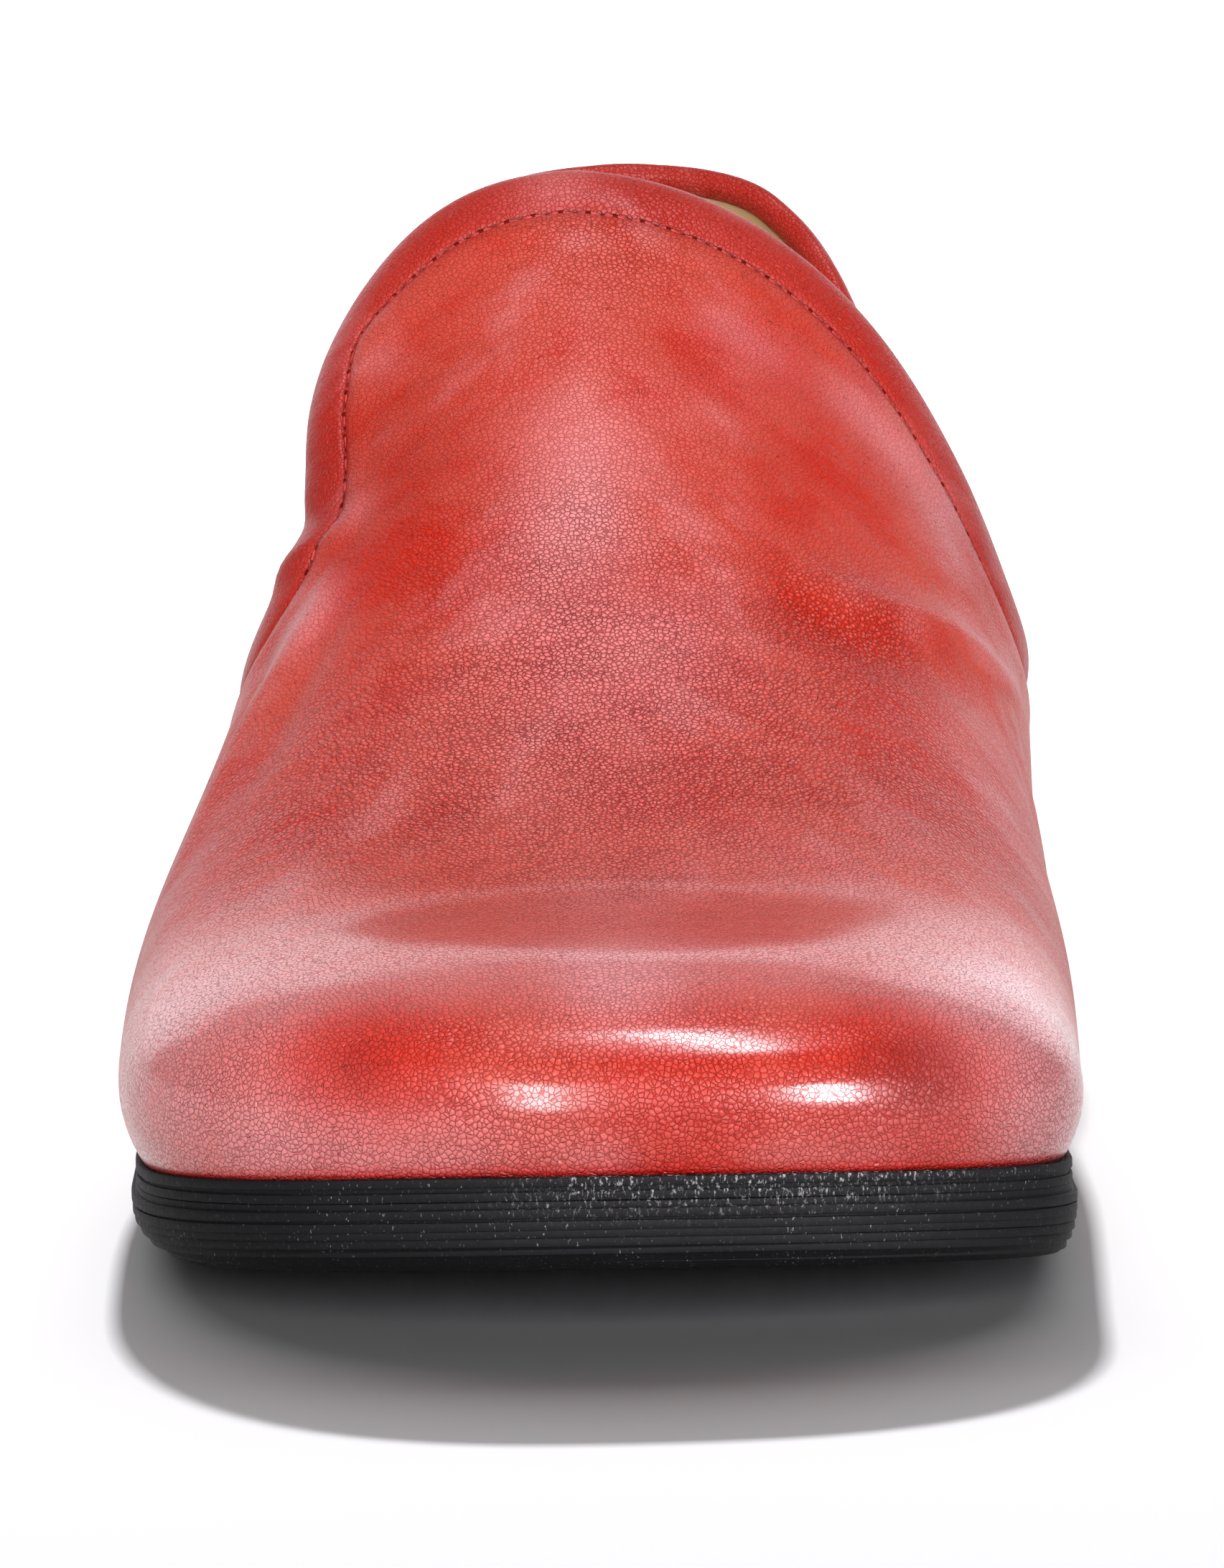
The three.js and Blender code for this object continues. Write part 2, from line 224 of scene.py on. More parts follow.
def catmullRom(points, stepsEach, closed=False):
    p = np.array(points, float)
    n = len(p)
    t = np.linspace(0, 1, stepsEach, endpoint=False)[:, None]
    parts = []
    for i in range(n if closed else n - 1):
        if closed:
            a, b, c, d = (p[(i + k) % n] for k in (-1, 0, 1, 2))
        else:
            a, b, c, d = p[max(i - 1, 0)], p[i], p[i + 1], p[min(i + 2, n - 1)]
        parts.append(0.5 * (2 * b + (c - a) * t + (2 * a - 5 * b + 4 * c - d) * t ** 2
                            + (3 * b - a - 3 * c + d) * t ** 3))
    if not closed:
        parts.append(p[-1:])
    return np.concatenate(parts)


def runLength(points):
    steps = np.linalg.norm(np.diff(points, axis=0), axis=-1)
    return np.concatenate([[0], np.cumsum(steps)])


def evenly(points, shares):
    # points at given shares of a polyline's length
    along = runLength(points)
    return np.stack([np.interp(shares * along[-1], along, axis) for axis in points.T], -1)


def eased(count):
    # shares from 0 to 1 that lie closer together at both ends
    t = np.linspace(0, 1, count)
    return t * t * (3 - 2 * t)


def unit(vectors):
    return vectors / (np.linalg.norm(vectors, axis=-1, keepdims=True) + 1e-12)


def neighbourWay(loop):
    # the way from the point before to the point after, round a closed loop
    return np.roll(loop, -1, 0) - np.roll(loop, 1, 0)


# The skin of the shoe: columns run from the topline down to the sole, all round the foot
skin = {
    "columns": 512,  # around the mouth
    "fan": 300,  # rays in each column
    "castRows": 700,  # fineness of the last that the rays meet
    "castRound": 420,
    "footLift": -0.4,  # the leather goes a little below the sole's top face
    "gather": 0.5,  # how far the columns lean towards the toe
    "eyeFront": 100,  # the rays start inside the foot, between these distances
    "eyeBack": 232,
    "eyeShare": 0.55,  # from the column's top towards its foot
    "eyeUp": 1.2,  # of the widest line's height over the sole
    "square": 0.35,  # share of a column that leaves square to the topline
    "squareMost": 26,
    "overTurn": 1.0,  # radians below the widest line where the topline is looked for
    "toplineSteps": 40,  # fineness of the topline and of the sole's feather line
    "featherTries": 20000,
    "featherPoints": 1200,
}


def toplineHalves():
    halves = []
    for name, start in (("lateral", -skin["overTurn"]), ("medial", math.pi + skin["overTurn"])):
        side = catmullRom(last["topline"][name] + last["topline"]["back"], skin["toplineSteps"])
        ridge = lastPoint(np.clip(side[:, 0], 0, last["length"]), math.pi / 2)[:, 2]
        at, z = side[(side[:, 0] < last["length"]) & (ridge > side[:, 1])].T
        angle = halving(np.full(len(at), start), np.full(len(at), math.pi / 2),
                        lambda mid: (lastPoint(at, mid) + swelling(at, mid))[:, 2] < z)
        halves.append(lastPoint(at, angle)[::-1])  # from the heel to the throat
    heelEnd = (halves[0][:1] + halves[1][:1]) / 2
    throatEnd = (halves[0][-1:] + halves[1][-1:]) / 2
    return [np.concatenate([heelEnd, half, throatEnd]) for half in halves]


def featherHalves():
    at = np.linspace(0, last["length"], skin["featherTries"] + 1)[1:-1]
    touching = at[footAngle(at, skin["footLift"]) > -math.pi / 2 + 1e-6]
    at = touching[-1] + (touching[0] - touching[-1]) * eased(skin["featherPoints"])
    angle = footAngle(at, skin["footLift"])
    return [lastPoint(at, angle), lastPoint(at, math.pi - angle)]


def wrapFaces(rows, around, closeRows=True):
    index = np.arange(rows * around).reshape(rows, around)
    if closeRows:
        index = np.concatenate([index, index[:1]])
    nextRound = np.roll(index, -1, 1)
    return np.stack([index[:-1], nextRound[:-1], nextRound[1:], index[1:]], -1).reshape(-1, 4)


def castLast():
    at = last["length"] * eased(skin["castRows"])
    angle = np.linspace(0, 2 * math.pi, skin["castRound"], endpoint=False)
    points = lastPoint(at[:, None], angle[None, :])
    faces = wrapFaces(skin["castRows"], skin["castRound"], False)
    return BVHTree.FromPolygons(points.reshape(-1, 3).tolist(), faces.tolist())


def skinColumns():
    half = skin["columns"] // 2
    share = np.linspace(0, 1, half + 1)
    lean = share - skin["gather"] * share * (1 - share)
    tops, feet = [], []
    for top, foot in zip(toplineHalves(), featherHalves()):
        tops.append(evenly(top, share))
        feet.append(evenly(foot, lean))
    top = np.concatenate([tops[0], tops[1][-2:0:-1]])
    foot = np.concatenate([feet[0], feet[1][-2:0:-1]])
    eyeAt = top[:, 1] + (foot[:, 1] - top[:, 1]) * skin["eyeShare"]
    eyeAt = np.clip(eyeAt, skin["eyeFront"], skin["eyeBack"])
    eye = lastPoint(eyeAt, math.pi / 2)
    eye[:, 2] = soleTop(eyeAt) + skin["eyeUp"] * lastCurve["belly"](eyeAt)
    tree = castLast()
    # each column leaves the topline square to it, then bends towards its foot
    facing = np.array([tree.find_nearest(Vector(p))[1] for p in top])
    facing *= np.sign((facing * (top - eye)).sum(1))[:, None]
    leave = np.cross(facing, neighbourWay(top))
    leave = unit(leave * -np.sign(leave[half, 1]))
    far = np.linalg.norm(foot - top, axis=1)[:, None]
    bendTop = top + leave * np.minimum(skin["square"] * far, skin["squareMost"])
    bendFoot = foot + (top - foot) * skin["square"]
    t = np.linspace(0, 1, skin["fan"])
    share = t[:, None]
    grid = np.empty((len(top), skin["fan"], 3))
    for i in range(len(top)):
        bow = ((1 - share) ** 3 * top[i] + 3 * share * (1 - share) ** 2 * bendTop[i]
               + 3 * share ** 2 * (1 - share) * bendFoot[i] + share ** 3 * foot[i])
        origin = Vector(eye[i])
        for j, way in enumerate(bow - eye[i]):
            hit = tree.ray_cast(origin, Vector(way))[0]
            grid[i, j] = hit if hit is not None else grid[i, j - 1]
        grid[i] = evenly(grid[i], t)  # even steps down the column
    return grid


def gridNormals(grid):
    normal = unit(np.cross(np.gradient(grid, axis=1), neighbourWay(grid)))
    outward = (normal * (grid - grid.mean(axis=(0, 1)))).sum()
    return normal if outward > 0 else -normal


# Creases of the worn leather: half width, height, and a path of points on the skin (x, at, z)
creases = {
    "toeCrest": (7.0, 0.45, [
        (-39.5, 36, 32.4), (-29, 32, 35.3), (-16.7, 26, 36.6), (2, 19, 36.3),
        (17.6, 23, 36), (33.7, 40, 34.3), (41, 47, 31), (44.6, 40, 27)]),
    "toeDip": (8.5, -0.8, [
        (-31, 41, 35.5), (-24.4, 41, 36.4), (-14.7, 43, 37.6), (1, 45, 38.6),
        (15, 45.5, 38), (28, 51, 36), (36, 55, 34)]),
    "lateralFold": (2.6, 1.0, [
        (20, 104, 58), (23.8, 105.7, 56.7), (30.6, 108.3, 53.3), (34.9, 111.8, 51),
        (39, 116, 47.9), (42, 119.2, 44.3), (43.9, 123.1, 41.3), (44.6, 128, 38)]),
    "lateralDip": (5.0, -1.0, [
        (17, 99, 56), (22.1, 99.3, 54.3), (26.6, 99.8, 51.9), (32.4, 102.5, 48.8),
        (37.5, 107, 45.5), (41, 113, 41)]),
    "lateralHollow": (3.2, -0.45, [(26, 113, 59), (31, 115, 56.5), (36, 119, 52), (40.5, 125, 47)]),
    "medialFold": (2.3, 0.85, [
        (-28.5, 111, 58), (-30.6, 106.7, 54.6), (-34.2, 101, 48.7), (-37.4, 97, 44.7),
        (-39.3, 91.7, 41.1), (-42.3, 83.3, 36.3), (-44.5, 75, 31.5)]),
    "medialDip": (2.6, -0.7, [
        (-26.5, 105, 56.8), (-29.6, 99, 52.3), (-33, 92.2, 47), (-34.8, 86.2, 44), (-38.5, 79, 39.5)]),
    "medialGutter": (2.0, -0.6, [(-34, 111, 52.5), (-37, 105.5, 47), (-40, 99, 41.5), (-42, 91, 37)]),
    "bandFold": (1.7, 0.7, [
        (-35.5, 122, 53.5), (-33.9, 119.1, 56), (-31.1, 116.7, 58.8), (-28.3, 114.6, 61),
        (-26, 113, 62.5)]),
    "bandDip": (2.4, -0.7, [(-35, 126, 57), (-32.5, 122.5, 60.5), (-29.5, 119.5, 63), (-26.5, 117, 65)]),
    "instepDip": (5.5, -0.2, [(-22, 100, 55.5), (-14, 103, 60.5), (-3, 104, 63.5), (9, 104, 62)]),
    "instepFold": (5.5, 0.2, [(-24, 90, 50.5), (-14, 92.5, 55), (-3, 93, 56.5), (9, 93, 55.5)]),
    "lateralEdge": (1.8, 0.35, [(43.5, 119, 40), (44.6, 115, 37), (45.8, 108, 30), (46.3, 100, 25)]),
}
creaseEnds = 0.6  # how bluntly a crease fades out at its ends
creaseSteps = 8  # fineness of its path, from point to point


def nearPath(points, path):
    # distance from each point to a path, and the share of the way along it
    path = catmullRom(path, creaseSteps)
    along = runLength(path)
    best = np.full(len(points), np.inf)
    share = np.zeros(len(points))
    for a, b, start, end in zip(path[:-1], path[1:], along[:-1], along[1:]):
        way = b - a
        t = np.clip((points - a) @ way / (way @ way), 0, 1)
        gap = np.linalg.norm(points - a - t[:, None] * way, axis=1)
        nearer = gap < best
        best = np.where(nearer, gap, best)
        share = np.where(nearer, (start + t * (end - start)) / along[-1], share)
    return best, share


def shapeSkin(grid):
    # the medial swell, then the creases
    angle = medialAngle(grid)
    medial = grid[..., 0] < lastCurve["ridge"](grid[..., 1])
    grid = grid + swelling(grid[..., 1], angle) * medial[..., None]
    normal = gridNormals(grid)
    points = grid.reshape(-1, 3)
    lift = np.zeros(len(points))
    for wide, high, path in creases.values():
        path = np.array(path, float)
        reach = 3 * wide
        near = np.all((points > path.min(0) - reach) & (points < path.max(0) + reach), axis=1)
        away, share = nearPath(points[near], path)
        lift[near] += high * np.exp(-(away / wide) ** 2) * np.sin(math.pi * share) ** creaseEnds
    return grid + normal * lift.reshape(grid.shape[:2])[..., None]


skinGrid = shapeSkin(skinColumns())
skinNormal = gridNormals(skinGrid)
skinLength = np.array([runLength(c)[-1] for c in skinGrid])
print("skin columns: %.0f to %.0f mm long" % (skinLength.min(), skinLength.max()))


def onSkin(down, lift):
    # points a distance down from the topline, lifted off the skin along its normal; both may vary by column
    cols, count = skinGrid.shape[:2]
    each = np.arange(cols)
    f = np.broadcast_to(down, (cols,)) / skinLength * (count - 1)
    k = np.clip(np.floor(f), 0, count - 2).astype(int)
    t = (f - k)[:, None]
    place = skinGrid[each, k] * (1 - t) + skinGrid[each, k + 1] * t
    normal = unit(skinNormal[each, k] * (1 - t) + skinNormal[each, k + 1] * t)
    return place + normal * np.broadcast_to(lift, (cols,))[:, None], normal


# Meshes and shaders
def outwardFaces(points, faces):
    # turn the faces of a closed surface outward
    a, b, c, d = (points[faces[:, k]] for k in range(4))
    volume = (a * np.cross(b, c)).sum() + (a * np.cross(c, d)).sum()
    return faces if volume > 0 else faces[:, ::-1]


def linked(name, data):
    # a new object in the scene
    made = bpy.data.objects.new(name, data)
    bpy.context.scene.collection.objects.link(made)
    return made


def addValues(mesh, values):
    # named numbers or vectors at the points of a mesh
    for key, numbers in values.items():
        numbers = np.asarray(numbers, np.float32)
        vectors = numbers.shape[-1] == 3
        layer = mesh.attributes.new(key, "FLOAT_VECTOR" if vectors else "FLOAT", "POINT")
        layer.data.foreach_set("vector" if vectors else "value", numbers.ravel())


def smooth(mesh):
    mesh.polygons.foreach_set("use_smooth", np.ones(len(mesh.polygons), bool))


def newPiece(name, points, faces, material, values=None):
    mesh = bpy.data.meshes.new(name)
    mesh.from_pydata(toWorld(points).tolist(), [], [list(f) for f in faces])
    addValues(mesh, values or {})
    smooth(mesh)
    mesh.materials.append(material)
    mesh.update()
    return linked(name, mesh)


def ringPiece(name, rows, material, values=None, closeRows=True):
    rows = np.array(rows)
    points = rows.reshape(-1, 3)
    faces = outwardFaces(points, wrapFaces(rows.shape[0], rows.shape[1], closeRows))
    return newPiece(name, points, faces, material, values)


def feed(node, sockets):
    # link wires to a node's inputs and set plain values on the others
    for name, value in sockets.items():
        if isinstance(value, Wire):
            node.id_data.links.new(value.socket, node.inputs[name])
        else:
            node.inputs[name].default_value = value


class Wire:
    # a socket of a node tree that can be used in sums
    def __init__(self, tree, socket=None):
        self.tree = tree
        self.socket = socket

    def node(self, kind, settings=None, sockets=None, out=0):
        made = self.tree.nodes.new(kind)
        for name, value in (settings or {}).items():
            setattr(made, name, value)
        feed(made, sockets or {})
        return Wire(self.tree, made.outputs[out]) if made.outputs else None

    def other(self, name):
        return Wire(self.tree, self.socket.node.outputs[name])

    def math(self, operation, first, second=0.0):
        return self.node("ShaderNodeMath", {"operation": operation}, {0: first, 1: second})

    def __add__(self, other):
        return self.math("ADD", self, other)

    def __radd__(self, other):
        return self.math("ADD", other, self)

    def __sub__(self, other):
        return self.math("SUBTRACT", self, other)

    def __rsub__(self, other):
        return self.math("SUBTRACT", other, self)

    def __mul__(self, other):
        return self.math("MULTIPLY", self, other)

    def __rmul__(self, other):
        return self.math("MULTIPLY", other, self)

    def __truediv__(self, other):
        return self.math("DIVIDE", self, other)

    def __pow__(self, other):
        return self.math("POWER", self, other)

    def between(self, start, end):
        # 0 at start, 1 at end, smooth between; start may be the larger of the two
        return self.node("ShaderNodeMapRange", {"interpolation_type": "SMOOTHSTEP"},
                         {"Value": self, "From Min": start, "From Max": end})

    def blend(self, first, second):
        return self.node("ShaderNodeMix", {"data_type": "RGBA"}, {0: self, 6: first, 7: second}, 2)

    def noise(self, scale, detail=2.0, roughness=0.5, out=0):
        return self.node("ShaderNodeTexNoise", {}, {
            "Vector": self, "Scale": scale, "Detail": detail, "Roughness": roughness}, out)

    def bump(self, strength, distance):
        return self.node("ShaderNodeBump", {}, {"Height": self, "Strength": strength, "Distance": distance})


def colour(red, green, blue):
    # a colour as seen on screen, from 0 to 255
    def linear(c):
        c /= 255
        return c / 12.92 if c <= 0.04045 else ((c + 0.055) / 1.055) ** 2.4
    return (linear(red), linear(green), linear(blue), 1.0)


def newMaterial(name):
    # a material, its shader, and a wire with the object coordinates
    material = bpy.data.materials.new(name)
    material.use_nodes = True
    tree = material.node_tree
    place = Wire(tree).node("ShaderNodeTexCoord", out="Object")
    return material, tree.nodes["Principled BSDF"], place


redLeather = {
    "light": colour(195, 68, 54),
    "glint": colour(234, 148, 140),
    "deep": colour(190, 36, 14),
    "band": colour(170, 36, 26),
    # pale pink of the painted sheen, also used for the pale streaks
    "sheenPink": colour(220, 136, 139),
    "dark": colour(112, 16, 14),
    "crack": colour(142, 16, 10),
    "feather": colour(186, 22, 14),
    # noises: scale, detail, roughness
    "noise": {
        "cloud": (34.0, 3.0, 0.55),
        "mottle": (130.0, 4.0, 0.6),
        "freckle": (1700.0, 3.0, 0.5),
        "fine": (2600.0, 2.0, 0.5),
    },
    "waves": {"noise": (130.0, 2.0, 0.5), "stretch": (0.45, 1.0, 1.0)},
    # streaks run down and out from the ridge; on the quarters they are faint; ranges in metres of the frame
    "streaks": {"noise": (150.0, 3.0, 0.55), "turn": 45, "stretch": (1.0, 2.5, 4.0),
                "ridge": (-0.012, 0.012), "vamp": (0.01, -0.014), "instep": (0.052, 0.068),
                "onQuarter": 0.25},
    # masks: the range over which each one rises, and its weight; edge, foot and seam are in millimetres
    "mask": {
        "cloud": (0.46, 0.68, 0.45),
        "mottle": (0.42, 0.72, 0.35),
        "waves": (0.48, 0.3, 0.2),
        "deepStreaks": (0.48, 0.68, 0.45),
        # painted shade where the deep spots pass 1
        "burnt": (1.1, 2.1, 0.6),
        "band": (7.6, 6.6, 0.85),
        # painted sheen and highlights
        "bloom": (0.0, 1.15, 1.0),
        "streakSheen": (0.48, 0.3, 0.32),
        "freckle": (0.63, 0.71, 0.5),
        "glint": (0.45, 0.05, 0.34),
        "seam": (0.4, 0.1, 0.7),
        "feather": (2.6, 0.6, 0.9),
        "footShade": (0.7, 0.1, 0.8),
        "patchyGrain": (0.3, 0.7, 0.5),
        "coatBelowBand": (6.6, 9.0, 0.7),
    },
    "shadeWeight": 0.24,
    "crackWeight": 0.5,
    # how much of the painted sheen stays, and how the mottle breaks it up
    "paintedSheenLeast": 0.65,
    "paintedSheenMottle": 0.7,
    "seam": 7.15,
    "grain": {"size": 0.54 * mm, "warp": 0.0003, "warpNoise": (500.0, 2.0), "groove": (0.01, 0.12),
              "smooth": 0.4, "least": 0.4, "pebble": 0.35},
    # the relief, in parts of its depth
    "relief": {"depth": 0.24 * mm, "strength": 0.85, "groove": 0.9, "dome": 0.6, "fine": 0.14,
               "waves": 4.2, "streaks": 2.4},
    "roughness": {"vamp": 0.42, "toe": 0.37, "mottle": 0.2},
    "coat": {"weight": 0.85, "roughness": 0.18, "inGroove": 0.2, "most": 1.25, "freckle": 0.7, "onBand": 0.3},
    "specular": 0.22,
    # polish along the shoe (at, share of the coat)
    "polish": [(0, 1.0), (30, 1.0), (45, 0.5), (60, 0.1), (80, 0.0), (150, 0.08), (300, 0.2)],
    # soft spots on the skin (x, at, z, size, strength), first the places of deeper red, partly painted shade:
    # in creases, where the toe takes no sheen, and darker still above 1
    "deepRedAndShade": [
        (-26, 7, 29, 6, 1.3), (-20, 4, 28, 6, 0.9), (8, 0.5, 25, 7, 1.0), (23, 3, 29, 7, 0.8),
        (32, 7, 27, 9, 1.9), (4, 5, 31, 9, 0.6), (26.6, 99.5, 52, 8, 0.9), (32, 98, 47.5, 6, 0.5),
        (-22, 123, 71, 9, 0.3), (15, 126, 78, 9, 0.2), (-17, 104, 60, 8, 0.4), (18, 110, 66, 8, 0.4),
        (36.6, 85, 40, 12, 0.8), (7, 90, 56, 9, 0.35), (34, 72, 39, 11, 0.6), (-40, 64, 35, 11, 0.6),
        (-33, 70, 40, 10, 0.3),
    ],
    # painted shade: places that lie darker
    "shade": [
        (-24, 120, 68, 14, 1.2), (20, 122, 70, 12, 0.3), (0, 133, 83, 12, 0.3), (44, 16, 23, 11, 1.3),
        (45, 66, 29, 9, 0.6), (34, 72, 39, 10, 0.4), (40, 131, 56, 9, 1.1), (27, 3, 20, 6, 0.4),
    ],
    # painted sheen and highlights: pale places round the toe, over the vamp, along the seam and the folds
    "bloom": [
        (-42, 22, 24, 13, 0.75), (-33, 8, 20, 8, 0.6), (-23, 4, 20, 6, 0.4), (-14, 1.5, 20, 8, 0.5),
        (-1, 0, 19, 5, 0.5), (16, 2, 18, 5, 0.4), (25, 4, 19, 6, 0.35), (43, 16, 23, 11, 0.9),
        (46, 27, 26, 13, 0.8), (45, 40, 24, 10, 0.4), (1, 17, 36, 9, 0.8), (-16, 17, 36, 9, 0.5),
        (17, 18, 35, 9, 0.5), (-30, 17, 33, 8, 0.4), (33, 17, 32, 8, 0.4), (1, 9, 34, 7, 0.35),
        (-3, 104, 62, 8, 0.65), (-2, 113, 68, 8, 0.35), (-8, 94, 57, 8, 0.25), (-3, 118, 72, 10, 0.25),
        (0, 84, 51, 15, 0.42), (-3, 62, 43, 18, 0.3), (19, 51, 38, 12, 0.3), (0.5, 38, 37, 11, 0.35),
        (8, 92, 55, 10, 0.3), (-24, 80, 47, 14, 0.15), (24, 78, 46, 14, 0.1), (13, 122, 74, 9, 0.2),
        (-4, 147, 93, 6, 0.4), (-23.5, 131, 77, 4, 0.4), (-26.4, 115.8, 63.4, 4, 0.5),
        (-30.6, 106.8, 55.3, 5, 0.55), (-33.2, 102.8, 51.5, 5, 0.4), (13, 134, 80.5, 4, 0.35),
        (18, 132, 77, 5, 0.35), (27, 133, 71.5, 5, 0.45), (32, 132, 66, 5, 0.55), (36.5, 131, 60, 5, 0.6),
        (38.5, 128, 55, 5, 0.5), (26.8, 105.8, 55.6, 3, 0.3), (32.9, 108, 51.7, 3, 0.35),
    ],
    # places where the grain stands out
    "pebble": [
        (-2, 92, 57, 16, 0.7), (-3, 104, 62, 9, 0.5), (27, 100, 52, 10, 1.0), (0, 4, 24, 28, 0.55),
        (-40, 22, 28, 18, 0.8), (42, 20, 28, 16, 0.7), (-30, 66, 40, 24, 0.9), (0, 70, 48, 24, 0.8),
        (30, 72, 42, 22, 0.8), (2, 141, 88, 7, 0.5), (0, 46, 38, 20, 0.5),
    ],
}
leatherSpots = ("deepRedAndShade", "shade", "bloom", "pebble")


def patches(points, table):
    # soft spots added together at points of the skin
    points = np.asarray(points, float)
    total = np.zeros(points.shape[:-1])
    for x, at, z, size, strength in table:
        total += strength * np.exp(-((points - (x, at, z)) ** 2).sum(-1) / size ** 2)
    return np.clip(total, 0, 2)


def slantedStreaks(place, split):
    # the same noise slanted both ways, one on each side of the ridge
    look = redLeather["streaks"]
    left, right = (
        place.node("ShaderNodeMapping", {"vector_type": "TEXTURE"}, {
            "Vector": place, "Rotation": (0.0, math.radians(turn), 0.0), "Scale": look["stretch"],
        }).noise(*look["noise"])
        for turn in (look["turn"], -look["turn"]))
    side = split.between(*look["ridge"])
    return left * (1 - side) + right * side


def makeRedLeather():
    look = redLeather
    material, shader, place = newMaterial("redLeather")
    value = {name: place.node("ShaderNodeAttribute", {"attribute_name": name}, out="Fac")
             for name in ("edge", "foot", "polish") + leatherSpots}
    noise = {name: place.noise(*row) for name, row in look["noise"].items()}
    split = place.node("ShaderNodeSeparateXYZ", {}, {0: place})
    stretched = place.node("ShaderNodeMapping", {}, {"Vector": place, "Scale": look["waves"]["stretch"]})
    waves = stretched.noise(*look["waves"]["noise"])
    streaks = slantedStreaks(place, split)
    unpolished = 1 - value["polish"]

    def mask(source, name):
        start, end, weight = look["mask"][name]
        return source.between(start, end) * weight

    # the grain: cells with a groove between them and a dome in the middle
    grain = look["grain"]
    warp = place.noise(*grain["warpNoise"], out="Color")
    bent = place.node("ShaderNodeMix", {"data_type": "VECTOR"}, {0: grain["warp"], 4: place, 5: warp}, 1)
    cells = {"Vector": bent, "Scale": 1 / grain["size"]}
    crack = place.node("ShaderNodeTexVoronoi", {"feature": "DISTANCE_TO_EDGE"}, cells)
    dome = place.node("ShaderNodeTexVoronoi", {"feature": "SMOOTH_F1"},
                      {**cells, "Smoothness": grain["smooth"]})
    groove = crack.between(*grain["groove"])
    patchy = grain["pebble"] + mask(noise["mottle"], "patchyGrain")
    strength = grain["least"] + value["pebble"] * patchy

    # the paint, one layer over the other
    area = look["streaks"]
    onVamp = place.math("MAXIMUM", split.other("Y").between(*area["vamp"]),
                        split.other("Z").between(*area["instep"]))
    onVamp = onVamp * (1 - area["onQuarter"]) + area["onQuarter"]
    depth = value["deepRedAndShade"] + mask(noise["cloud"], "cloud") + mask(noise["mottle"], "mottle")
    depth = depth + mask(waves, "waves") + mask(streaks, "deepStreaks") * unpolished
    cloudy = look["paintedSheenLeast"] + noise["mottle"] * look["paintedSheenMottle"]
    seam = place.math("ABSOLUTE", value["edge"] - look["seam"])
    layers = (
        (depth.between(0.0, 1.0), "deep"),
        # painted shade where the deep spots pass 1
        (mask(value["deepRedAndShade"], "burnt"), "dark"),
        (mask(value["edge"], "band"), "band"),
        # painted sheen and highlights, broken up by the mottle
        (mask(value["bloom"], "bloom") * cloudy, "sheenPink"),
        # pale streaks on the raised streaks: partly painted sheen, partly streaky mottling
        (mask(streaks, "streakSheen") * unpolished * onVamp, "sheenPink"),
        (value["shade"] * look["shadeWeight"], "dark"),
        (mask(noise["freckle"], "freckle"), "dark"),
        ((1 - groove) * strength * look["crackWeight"], "crack"),
        (mask(dome, "glint") * value["pebble"] * unpolished, "glint"),
        (mask(seam, "seam"), "dark"),
        (mask(value["foot"], "feather"), "feather"),
        # painted shade where the leather meets the sole
        (mask(value["foot"], "footShade"), "dark"),
    )
    tone = look["light"]
    for amount, name in layers:
        tone = amount.blend(tone, look[name])

    relief = look["relief"]
    height = (groove * relief["groove"] - dome * relief["dome"]) * strength + noise["fine"] * relief["fine"]
    height = height + waves * relief["waves"] - streaks * relief["streaks"]
    rough, coat = look["roughness"], look["coat"]
    worn = rough["vamp"] + value["polish"] * (rough["toe"] - rough["vamp"])
    broken = coat["inGroove"] + groove * (1 - coat["inGroove"])
    broken = broken * (coat["most"] - noise["freckle"] * coat["freckle"])
    feed(shader, {
        "Base Color": tone,
        "Roughness": worn + (0.5 - noise["mottle"]) * rough["mottle"],
        "Normal": height.bump(relief["strength"], relief["depth"]),
        "Coat Weight": value["polish"] * broken * coat["weight"]
        * (coat["onBand"] + mask(value["edge"], "coatBelowBand")),
        "Coat Roughness": coat["roughness"],
        "Specular IOR Level": look["specular"],
    })
    return material


threadLook = {"light": colour(206, 52, 42), "dark": colour(150, 28, 22), "noise": 1800.0,
              "spread": (0.3, 0.7), "roughness": 0.6}
# dark blobs sunk in the groove: the painted shade of the needle holes
holeLook = {"light": colour(122, 28, 22), "dark": colour(70, 13, 11), "noise": 900.0, "roughness": 0.9}


def makeThread():
    look = threadLook
    material, shader, place = newMaterial("redThread")
    twist = place.noise(look["noise"]).between(*look["spread"])
    feed(shader, {"Base Color": twist.blend(look["dark"], look["light"]), "Roughness": look["roughness"]})
    return material


def makeHoleShade():
    look = holeLook
    material, shader, place = newMaterial("holeShade")
    depth = place.noise(look["noise"])
    feed(shader, {"Base Color": depth.blend(look["dark"], look["light"]), "Roughness": look["roughness"],
                  "Specular IOR Level": 0.0})
    return material


blackRubber = {
    "body": colour(6, 6, 8),
    "worn": colour(15, 15, 18),
    "lint": colour(176, 174, 176),
    "wornSpread": (0.4, 0.75),
    "cloud": (60.0, 5.0),  # noises: scale, detail, roughness
    "pore": (1500.0, 3.0),
    "streak": (2900.0, 4.0, 0.7),
    "speck": (4200.0, 1.0),
    "flatten": (1.0, 1.0, 0.45),  # streaks and specks stand upright
    # the scuffed strip at the toe: where it begins and ends, in metres of the frame
    "scuff": {"left": (-0.014, 0.002), "right": (0.046, 0.026), "back": (-0.108, -0.118),
              "low": (0.0135, 0.0178), "spread": (0.54, 0.68), "weight": 0.9},
    "dust": {"spread": (0.66, 0.78), "cloudy": (0.42, 0.6), "least": 0.25, "weight": 0.45},
    "roughness": {"least": 0.6, "pore": 0.2},
    "relief": {"strength": 0.6, "depth": 0.08 * mm},
    "specular": 0.2,
}


